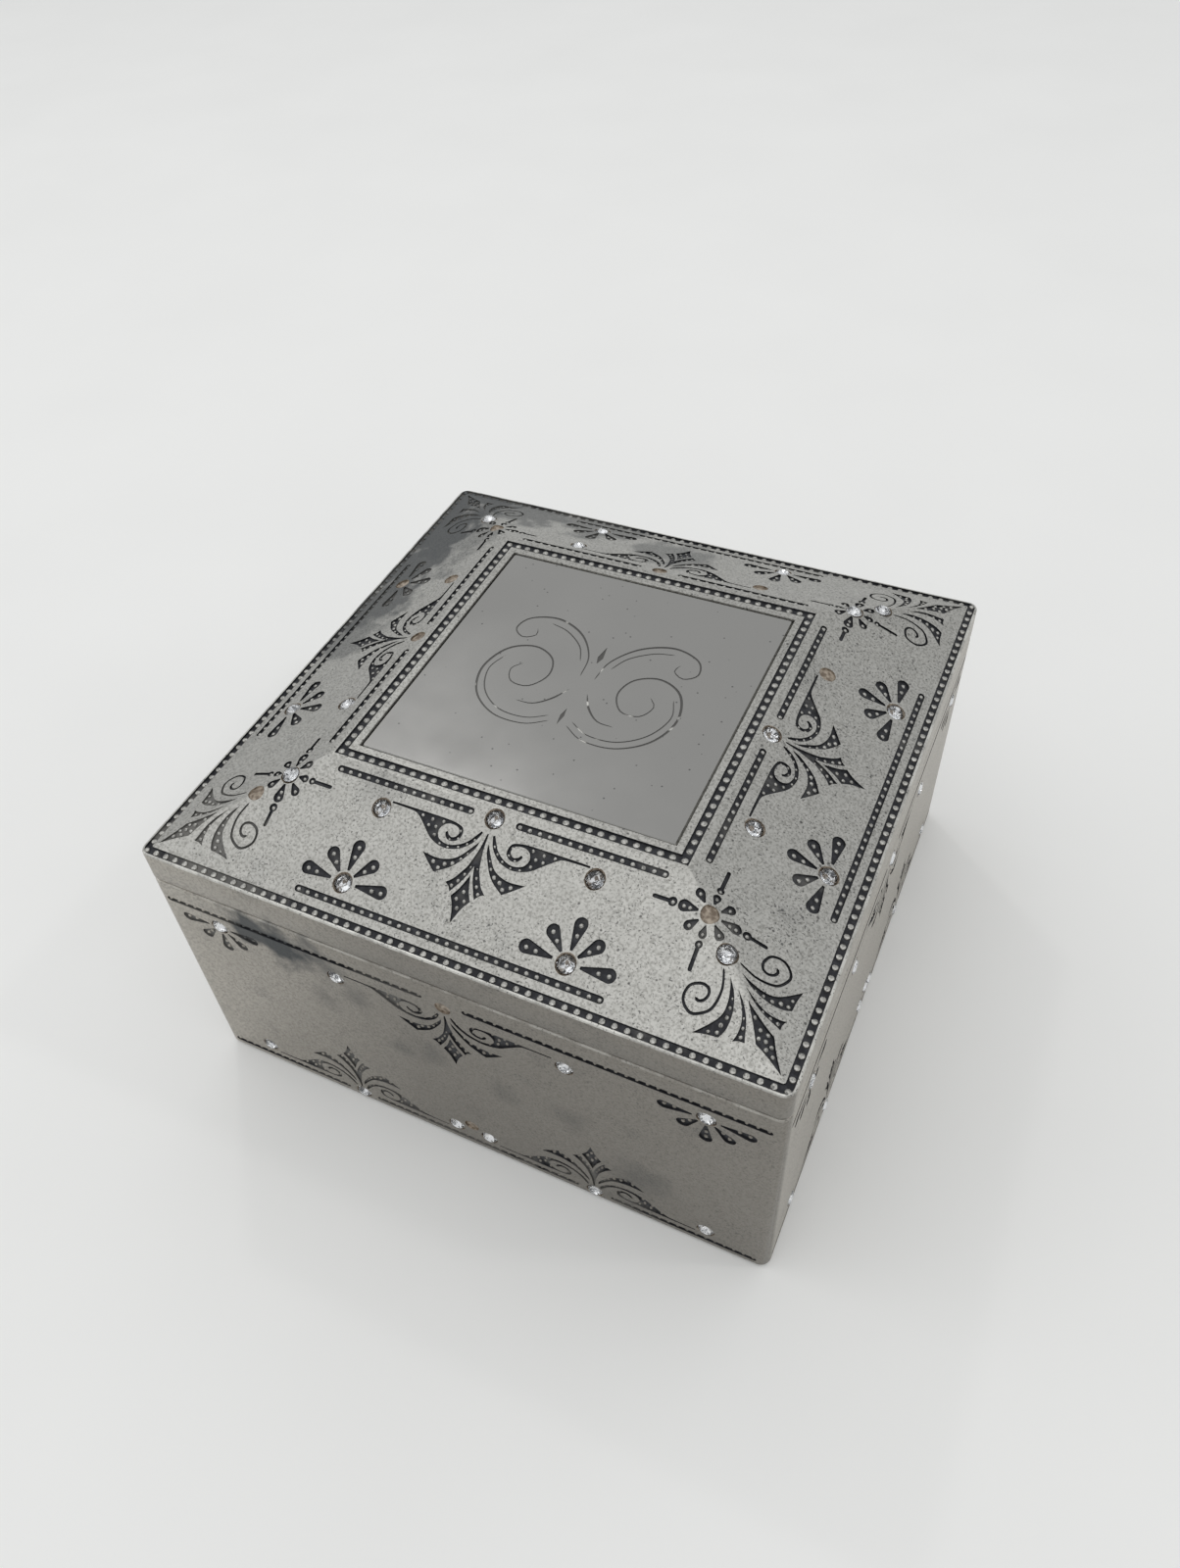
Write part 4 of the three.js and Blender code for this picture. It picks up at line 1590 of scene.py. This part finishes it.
@dataclass(frozen=True)
class BodyCasting:
    """The open body: four walls with sunk ornament, and a floor with a recess under it."""

    envelope: Envelope
    stones: StonePlaces
    depth: float = 0.34
    bead_rise: float = 0.85
    wide: float = 1.09
    tall: float = 1.085
    upper_line: float = 11.1
    lower_line: float = 55.9
    line_end: float = 53.0
    upper_tail: float = 14.4
    lower_tail: float = 54.0
    line: BeadChannel = BeadChannel(1.1, 1.645, 0.35)
    foot: float = 0.8
    lip: float = 0.4
    floor_top: float = 3.1
    felt_inset: float = 3.5
    felt_recess: float = 1.3

    def wall_motif(self) -> Motif:
        """The ornament of one wall: x along it and y its height on the box."""
        rim = self.envelope.rim
        low_x = self.stones.wall["low_root_right"][0]
        palmette = Palmette().motif()
        daisy = HalfDaisy().motif()
        parts = [
            self.line.slot(3.5, self.line_end, rim - self.upper_line).with_mirror(),
            self.line.slot(low_x + 3, self.line_end, rim - self.lower_line).with_mirror(),
            self.line.slot(3 - low_x, low_x - 3, rim - self.lower_line),
            palmette.moved(placed(0, rim - self.upper_tail, 180, self.wide, self.tall)),
        ]
        for side in (-1, 1):
            parts.append(palmette.moved(placed(side * low_x, rim - self.lower_tail, 0, self.wide, self.tall)))
            x, depth = self.stones.wall["daisy_right"]
            parts.append(daisy.moved(placed(side * x, rim - depth, 180)))
        return joined(parts)

    def bend(self, point: Vector) -> Vector:
        """Where a point of the flat front wall lies once its ends are bent round the corners."""
        e = self.envelope
        straight = e.half - e.corner_radius
        reach = e.corner_radius + point.z
        beyond = abs(point.x) - straight
        if beyond <= 0:
            return Vector((point.x, -straight - reach, point.y))
        angle = beyond / e.corner_radius
        x = straight + reach * math.sin(angle)
        return Vector((math.copysign(x, point.x), -straight - reach * math.cos(angle), point.y))

    def wall_sheet(self, side: Side) -> Sheet:
        """One wall with half of the corner at each end, in its place."""
        e = self.envelope
        sheet = Sheet(self.depth, self.bead_rise)
        straight = e.half - e.corner_radius
        end = straight + e.corner_radius * math.pi / 4
        low, high = e.body_bottom + self.foot, e.body_top - self.lip
        border = sheet.ring([Vector(p) for p in ((-end, low), (end, low), (end, high), (-end, high))])
        motif = self.wall_motif()
        label = side.name.lower()
        places = {
            f"wall_{label}_{name}": Vector((x, e.rim - depth))
            for name, (x, depth) in self.stones.wall.items()
        }
        sunk, holes = sheet.trace(motif, places, self.stones.lost)
        sheet.fill([border, *sunk, *holes.values()], Metal.WORN)
        sheet.carve(sunk, holes, self.stones.lost)
        sheet.add_beads(motif.beads)
        for share in (0, 1 / 3, 2 / 3):
            place = straight + share * (end - straight)
            for way in (-1, 1):
                sheet.cut_flat(Vector((way * place, 0, 0)), Vector((1, 0, 0)))
        sheet.fold(lambda p: side.turn @ self.bend(p))
        return sheet

    def mesh(self) -> BMesh:
        """The whole casting in mm."""
        e = self.envelope
        bm = bmesh.new()
        for side in Side:
            sheet = self.wall_sheet(side)
            wall = bpy.data.meshes.new("wall")
            sheet.bm.to_mesh(wall)
            sheet.bm.free()
            bm.from_mesh(wall)
            bpy.data.meshes.remove(wall)
        bmesh.ops.remove_doubles(bm, verts=bm.verts[:], dist=1e-3)
        notch_low = e.seam - e.notch_height
        cut_notch(bm, e, notch_low, e.body_top + 1)
        rows = (
            (0.12, e.body_top - 0.12),
            (0.4, e.body_top),
            (e.wall, e.body_top),
            (e.wall, (e.body_top + self.floor_top) / 2),
            (e.wall, self.floor_top),
        )
        turned_over(bm, e, open_border(bm, lambda p: p.z > e.body_top / 2), rows, notch_low)
        rows = (
            (0.25, e.body_bottom + 0.25),
            (self.foot, e.body_bottom),
            (self.felt_inset, e.body_bottom),
            (self.felt_inset, self.felt_recess),
        )
        turned_over(bm, e, open_border(bm, lambda p: p.z < e.body_top / 2), rows)
        return bm

    def build(self, finishes: CastingFinishes) -> Object:
        """Builds the piece."""
        piece = Piece("body_casting_cast", "body", Slot.PEWTER, ("body_casting",))
        return cast(self.mesh(), self.envelope, piece, finishes)


@dataclass(frozen=True)
class EngravedPlate:
    """The polished plate, with a chamfered edge and a symmetrical scroll cut by hand."""

    chamfer: float = 0.35
    groove: float = 0.06
    spread: float = 1.28

    def strokes(self) -> list[Loop]:
        """The right half of the scroll, as outlines of its cut lines."""
        fine = (0.12, 0.18, 0.18, 0.12)
        swelling = (0.12, 0.2, 0.3, 0.34, 0.26, 0.2, 0.12)
        lines: list[tuple[Stroke, Sequence[float]]] = [
            ([(1.2, -8.5), (4.2, -10.2), (8.6, -10.0), (12.4, -7.2), (14.0, -2.6), (12.6, 2.0), (9.2, 3.8),
              (6.0, 2.4), (5.0, -0.8), (6.6, -3.6), (9.2, -3.6), (10.3, -1.4), (9.2, 0.2)], swelling),
            ([(1.6, -7.6), (4.4, -9.1), (8.3, -8.9), (11.6, -6.4), (13.1, -2.5), (12.2, 0.8)], fine),
            ([(1.0, 0.6), (1.6, 4.6), (4.4, 8.4), (8.6, 10.2), (12.4, 9.0), (13.4, 6.4), (11.8, 5.0),
              (10.2, 6.0), (10.6, 7.4)], swelling),
            ([(2.2, 3.2), (3.6, 6.0), (6.4, 8.2), (9.2, 9.0)], fine),
            ([(1.3, -2.2), (2.6, -4.6), (4.6, -6.4), (7.0, -6.6)], (0.08, 0.3, 0.2, 0.08)),
        ]
        grown = placed(0, 0, wide=self.spread, tall=self.spread)
        loops = [ribbon(points, widths, 0.6) for points, widths in lines]
        return Motif(loops).moved(grown).outlines

    def build(self, polished: Material, cut: Material) -> Object:
        """Builds the piece."""
        low, high = (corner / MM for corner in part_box("engraved_plate"))
        half = (high.x - low.x) / 2
        sheet = Sheet(self.groove)
        border = sheet.ring(rounded_square(half - self.chamfer, 0.3, 3))
        spear = two_halves([[(0, -7.2), (0.35, -9.0)], [(0.35, -9.0), (0, -11.2)]])
        bud = two_halves([[(0, 9.2), (0.5, 6.2)], [(0.5, 6.2), (0, 4.6)]])
        right = self.strokes()
        grooves = [sheet.ring(loop) for loop in [*right, *(mirrored(loop) for loop in right), spear, bud]]
        sheet.fill([border, *grooves], Metal.WORN)
        for ring in grooves:
            wall = sheet.lowered(ring, 0.01, self.groove, Metal.BLACKENED)
            sheet.fill([wall], Metal.BLACKENED)
        middle = (high.y + low.y) / 2
        sheet.fold(lambda p: Vector((p.x, p.y + middle, p.z + high.z)))
        edge = sheet.lowered(border, -self.chamfer, self.chamfer, Metal.WORN)
        foot = sheet.lowered(edge, 0, high.z - low.z - self.chamfer, Metal.WORN)
        sheet.fill([foot], Metal.WORN)
        piece = Piece("polished_plate_engraved", "lid", Slot.PLATE, ("engraved_plate",))
        return finished(sheet.bm, piece, [polished, cut], crease=20)


@dataclass(frozen=True)
class Brilliant:
    """A round rhinestone with a brilliant cut and a foil back."""

    radius: float = 1.45
    table: float = 0.8
    table_height: float = 0.35
    crown: float = 1.14
    crown_height: float = 0.17
    girdle_top: float = -0.13
    girdle_foot: float = -0.25
    pavilion: float = 0.72
    pavilion_depth: float = -0.68
    culet: float = -1.1
    fold_count: int = 8

    def mesh(self, seat: Matrix, spin: float) -> BMesh:
        """The stone in mm, at its seat, turned about its own axis by spin radians."""
        bm = bmesh.new()
        eighth = math.tau / self.fold_count
        rings = (
            (self.table, self.table_height, self.fold_count, 0),
            (self.crown, self.crown_height, self.fold_count, eighth / 2),
            (self.radius, self.girdle_top, 2 * self.fold_count, 0),
            (self.radius, self.girdle_foot, 2 * self.fold_count, 0),
            (self.pavilion, self.pavilion_depth, self.fold_count, eighth / 2),
        )
        for radius, height, count, turn in rings:
            matrix = Matrix.Translation((0, 0, height)) @ Matrix.Rotation(turn, 4, "Z")
            bmesh.ops.create_circle(bm, segments=count, radius=radius, matrix=matrix)
        bm.verts.new((0, 0, self.culet))
        bmesh.ops.convex_hull(bm, input=bm.verts[:])
        loose = [edge for edge in bm.edges if not edge.link_faces]
        bmesh.ops.delete(bm, geom=loose, context="EDGES")
        bmesh.ops.dissolve_limit(
            bm, angle_limit=math.radians(0.5), verts=bm.verts[:], edges=bm.edges[:]
        )
        for face in bm.faces:
            face.material_index = int(face.calc_center_median().z < self.girdle_foot - 0.01)
        matrix = seat @ Matrix.Rotation(spin, 4, "Z")
        bmesh.ops.transform(bm, matrix=matrix, verts=bm.verts[:])
        return bm


@dataclass(frozen=True)
class StoneSetting:
    """Puts a stone in every socket that still has one.

    The middle of a CAD stone lies cad_middle mm above its socket's mouth, and a stone that is
    further than the tolerance from its CAD place is reported.
    """

    envelope: Envelope
    stones: StonePlaces
    cad_middle: float = -0.4
    tolerance: float = 0.2

    def seat(self, turn: Matrix, place: Vector, outwards: Vector) -> Matrix:
        """The matrix that carries a stone from the origin to a socket."""
        spin = Vector((0, 0, 1)).rotation_difference(outwards).to_matrix().to_4x4()
        middle = Matrix.Translation((0, self.envelope.middle_y, 0))
        return middle @ turn @ Matrix.Translation(place) @ spin

    def seats(self) -> dict[str, tuple[str, Matrix]]:
        """Each stone's body and seat, by name."""
        e = self.envelope
        seats = {}
        for side in Side:
            label = side.name.lower()
            for name, (across, inset) in self.stones.lid_side.items():
                place = Vector((across, inset - e.half, e.height(0, inset - e.half)))
                seats[f"{label}_{name}"] = ("lid", self.seat(side.turn, place, Vector((0, -e.slope, 1))))
            for name, (across, depth) in self.stones.wall.items():
                place = Vector((across, -e.half, e.rim - depth))
                seats[f"wall_{label}_{name}"] = ("body", self.seat(side.turn, place, Vector((0, -1, 0))))
        for corner in Corner:
            for name, inset in self.stones.lid_corner.items():
                place = Vector((inset - e.half, inset - e.half, e.height(0, inset - e.half)))
                outwards = Vector((-e.slope / 2, -e.slope / 2, 1))
                label = f"corner_{corner.name.lower()}_{name}"
                seats[label] = ("lid", self.seat(corner.turn, place, outwards))
        return seats

    def build(self, glass: Material, foil: Material, nodes: Iterable[str]) -> None:
        """Builds every stone.

        Args:
            glass: The material of the crown.
            foil: The material of the back.
            nodes: The names of the CAD nodes.
        """
        golden = math.pi * (3 - math.sqrt(5))
        known = set(nodes)
        for number, (name, (body, seat)) in enumerate(sorted(self.seats().items())):
            if name in self.stones.lost:
                continue
            node = f"stone_{name}"
            stands_for = (node,) if node in known else ()
            for one in stands_for:
                low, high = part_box(one)
                gap = ((low + high) / 2 / MM - seat @ Vector((0, 0, self.cad_middle))).length
                if gap > self.tolerance:
                    LOG.warning("%s is %.2f mm from its CAD place", node, gap)
            piece = Piece(f"brilliant_{name}", body, Slot.CRYSTAL, stands_for)
            finished(Brilliant().mesh(seat, number * golden), piece, [glass, foil], crease=1)


@dataclass(frozen=True)
class VelvetPad:
    """A thin stuffed pad covered in velvet, crowned in the middle and soft at its edges."""

    piece: Piece
    node: str
    faces_down: bool = False
    edge: float = 2.6
    pucker: float = 0.16
    cuts: int = 44
    edge_height: float = 0.42
    crown: float = 0.5
    settled: float = 0.15
    waviness: float = 0.12
    pulled_in: float = 0.25

    def build(self, velvet: Material, fill: float) -> Object:
        """Builds the pad inside its CAD solid's box."""
        low, high = (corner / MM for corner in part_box(self.node))
        size, middle = high - low, (high + low) / 2
        bm = bmesh.new()
        bmesh.ops.create_cube(bm, size=1)
        bmesh.ops.subdivide_edges(
            bm, edges=[edge for edge in bm.edges if abs((edge.verts[0].co - edge.verts[1].co).z) < 0.5],
            cuts=self.cuts, use_grid_fill=True,
        )
        side = [e for e in bm.edges if abs((e.verts[0].co - e.verts[1].co).z) > 0.5]
        bmesh.ops.subdivide_edges(bm, edges=side, cuts=3, use_grid_fill=True)
        bmesh.ops.scale(bm, vec=size, verts=bm.verts[:])
        for vert in bm.verts:
            vert.co = self.stuffed(vert.co, size) + middle
        obj = finished(bm, self.piece, [velvet], crease=180)
        return obj

    def stuffed(self, point: Vector, size: Vector) -> Vector:
        """Where a point of the plain block lies on the stuffed pad, round the pad's middle."""
        up = -1 if self.faces_down else 1
        inset = min(size.x / 2 - abs(point.x), size.y / 2 - abs(point.y))
        along = point.x if inset < size.x / 2 - abs(point.x) else point.y
        share = min(1.0, max(0.0, inset) / self.edge)
        lift = math.sqrt(max(0.0, 1 - (1 - share) ** 2))
        fold = self.pucker * math.sin(along * 0.9) * math.sin(along * 0.37 + 1) * (1 - share) * 2
        swell = self.waviness * math.sin(point.x * 0.11 + 0.6) * math.sin(point.y * 0.09 - 0.4)
        height = up * point.z + size.z / 2
        soft = height * (self.edge_height + self.crown * lift)
        soft += (swell - self.settled + fold) * height / size.z
        pull = self.pulled_in * math.sin(math.pi * min(1.0, height / size.z)) * (1 - share)
        flat = Vector((point.x - math.copysign(pull, point.x), point.y - math.copysign(pull, point.y)))
        return Vector((flat.x, flat.y, up * (soft - size.z / 2)))


@dataclass(frozen=True)
class CoveredBoard:
    """A stiff card covered in cloth, with soft edges."""

    piece: Piece
    node: str
    round_edge: float = 0.55

    def build(self, cloth: Material) -> Object:
        """Builds the board inside its CAD solid's box."""
        low, high = (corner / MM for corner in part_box(self.node))
        bm = bmesh.new()
        matrix = Matrix.Translation((high + low) / 2) @ Matrix.Diagonal((*(high - low), 1))
        bmesh.ops.create_cube(bm, size=1, matrix=matrix)
        bmesh.ops.bevel(
            bm, geom=bm.edges[:], offset=self.round_edge, segments=4, profile=0.5, affect="EDGES", material=-1
        )
        return finished(bm, self.piece, [cloth], crease=50)


@dataclass(frozen=True)
class StudioCamera:
    """The camera, placed from the box's middle in shares of the box's width."""

    across: float = 0.6251
    back: float = -1.2033
    up: float = 1.8489
    forward: tuple[float, float, float] = (-0.3346, 0.6016, -0.7253)
    roll: float = -5.09
    lens: float = 27.44
    shift: tuple[float, float] = (0.0142, -0.0098)

    def place(self, e: Envelope) -> None:
        """Makes the camera and gives it to the scene."""
        data = bpy.data.cameras.new("studio_camera")
        data.lens = self.lens
        data.shift_x, data.shift_y = self.shift
        camera = linked("studio_camera", data)
        width = 2 * e.half
        camera.location = Vector((self.across * width, self.back * width + e.middle_y, self.up * width)) * MM
        level = Vector(self.forward).to_track_quat("-Z", "Y").to_matrix().to_4x4()
        turned = level @ Matrix.Rotation(math.radians(self.roll), 4, "Z")
        camera.rotation_euler = turned.to_euler()
        data.clip_start = 0.01
        bpy.context.scene.camera = camera


@dataclass(frozen=True)
class Softbox:
    """A square diffused studio lamp: where it stands in metres, its size and its power."""

    name: str
    place: tuple[float, float, float]
    size: float
    power: float

    def light(self, target: Vector) -> None:
        """Makes the lamp and aims it."""
        data = bpy.data.lights.new(self.name, "AREA")
        data.size = self.size
        data.energy = self.power
        lamp = linked(self.name, data)
        lamp.location = self.place
        lamp.rotation_euler = (target - Vector(self.place)).to_track_quat("-Z", "Y").to_euler()


@dataclass(frozen=True)
class Studio:
    """A plain pale floor under soft light."""

    room: str = "c9cacb"
    room_strength: float = 1.15
    softboxes: tuple[Softbox, ...] = (
        Softbox("softbox_overhead", (-0.1, -0.15, 1.1), 1.1, 1.9),
        Softbox("softbox_left", (-1.1, -0.3, 0.7), 0.7, 1.2),
        Softbox("spot_front", (0.25, -0.35, 1.2), 0.07, 0.55),
        Softbox("spot_back", (-0.5, 0.5, 1.0), 0.07, 0.55),
        Softbox("spot_right", (0.7, 0.2, 0.9), 0.07, 0.55),
    )

    def build(self, e: Envelope) -> None:
        """Makes the floor, the room's light and the lamps."""
        bm = bmesh.new()
        bmesh.ops.create_grid(bm, x_segments=2, y_segments=2, size=1.5)
        mesh = bpy.data.meshes.new("studio_floor")
        bm.to_mesh(mesh)
        bm.free()
        mesh.materials.append(StudioPaint().material())
        floor = linked("studio_floor", mesh)
        world = bpy.data.worlds.new("studio_room")
        world.use_nodes = True
        back = world.node_tree.nodes["Background"]
        back.inputs["Color"].default_value = colour(self.room)
        back.inputs["Strength"].default_value = self.room_strength
        bpy.context.scene.world = world
        bpy.context.scene.view_settings.view_transform = "Standard"
        target = Vector((0, e.middle_y, e.rim)) * MM
        for softbox in self.softboxes:
            softbox.light(target)


def line_inside() -> None:
    """Builds the velvet lining and the felt foot."""
    velvet = Pile("velvet_black_cotton", "0c0c10", "2a2a33", 0.45, 0.5).material()
    felt = Pile("felt_pressed_wool", "15151a", "303036", 0.7, 0.3).material()
    VelvetPad(Piece("floor_pad_velvet", "body", Slot.VELVET, ("floor_pad",)), "floor_pad").build(velvet, 0.5)
    lid_pad = Piece("lid_pad_velvet", "lid", Slot.VELVET, ("lid_pad",))
    VelvetPad(lid_pad, "lid_pad", faces_down=True, edge=1.6, pucker=0.08).build(velvet, 0.5)
    for side in Side:
        node = f"liner_{side.name.lower()}"
        CoveredBoard(Piece(f"{node}_velvet", "body", Slot.VELVET, (node,)), node).build(velvet)
    felt_piece = Piece("base_felt_cloth", "body", Slot.FELT, ("base_felt",))
    foot = CoveredBoard(felt_piece, "base_felt", 0.3).build(felt)


def dress_hinge(nodes: Mapping[str, Object]) -> None:
    """Gives the hinge, its pin and its rivets their steel."""
    steel = HingeSteel().material()
    for name, node in nodes.items():
        if name.startswith(("hinge_", "rivet_")):
            node.data.materials.clear()
            node.data.materials.append(steel)
            LOG.info("%s: dressed", name)


def main() -> None:
    """Builds the box round its CAD frame."""
    logging.basicConfig(level=logging.INFO, format="%(name)s: %(message)s")
    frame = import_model()
    envelope = Envelope.from_frame()
    stones = StonePlaces()
    StudioCamera().place(envelope)
    Studio().build(envelope)
    finishes = CastingFinishes(
        AntiquePewter(envelope).material(), BlackenedGround().material(), DriedGlue().material()
    )
    LidCasting(envelope, stones).build(finishes)
    BodyCasting(envelope, stones).build(finishes)
    EngravedPlate().build(PolishedPlate().material(), GraverCut().material())
    StoneSetting(envelope, stones).build(
        LeadCrystal().material(), MirrorFoil().material(), frame["nodes"]
    )
    line_inside()
    dress_hinge(frame["nodes"])


if __name__ == "__main__":
    main()
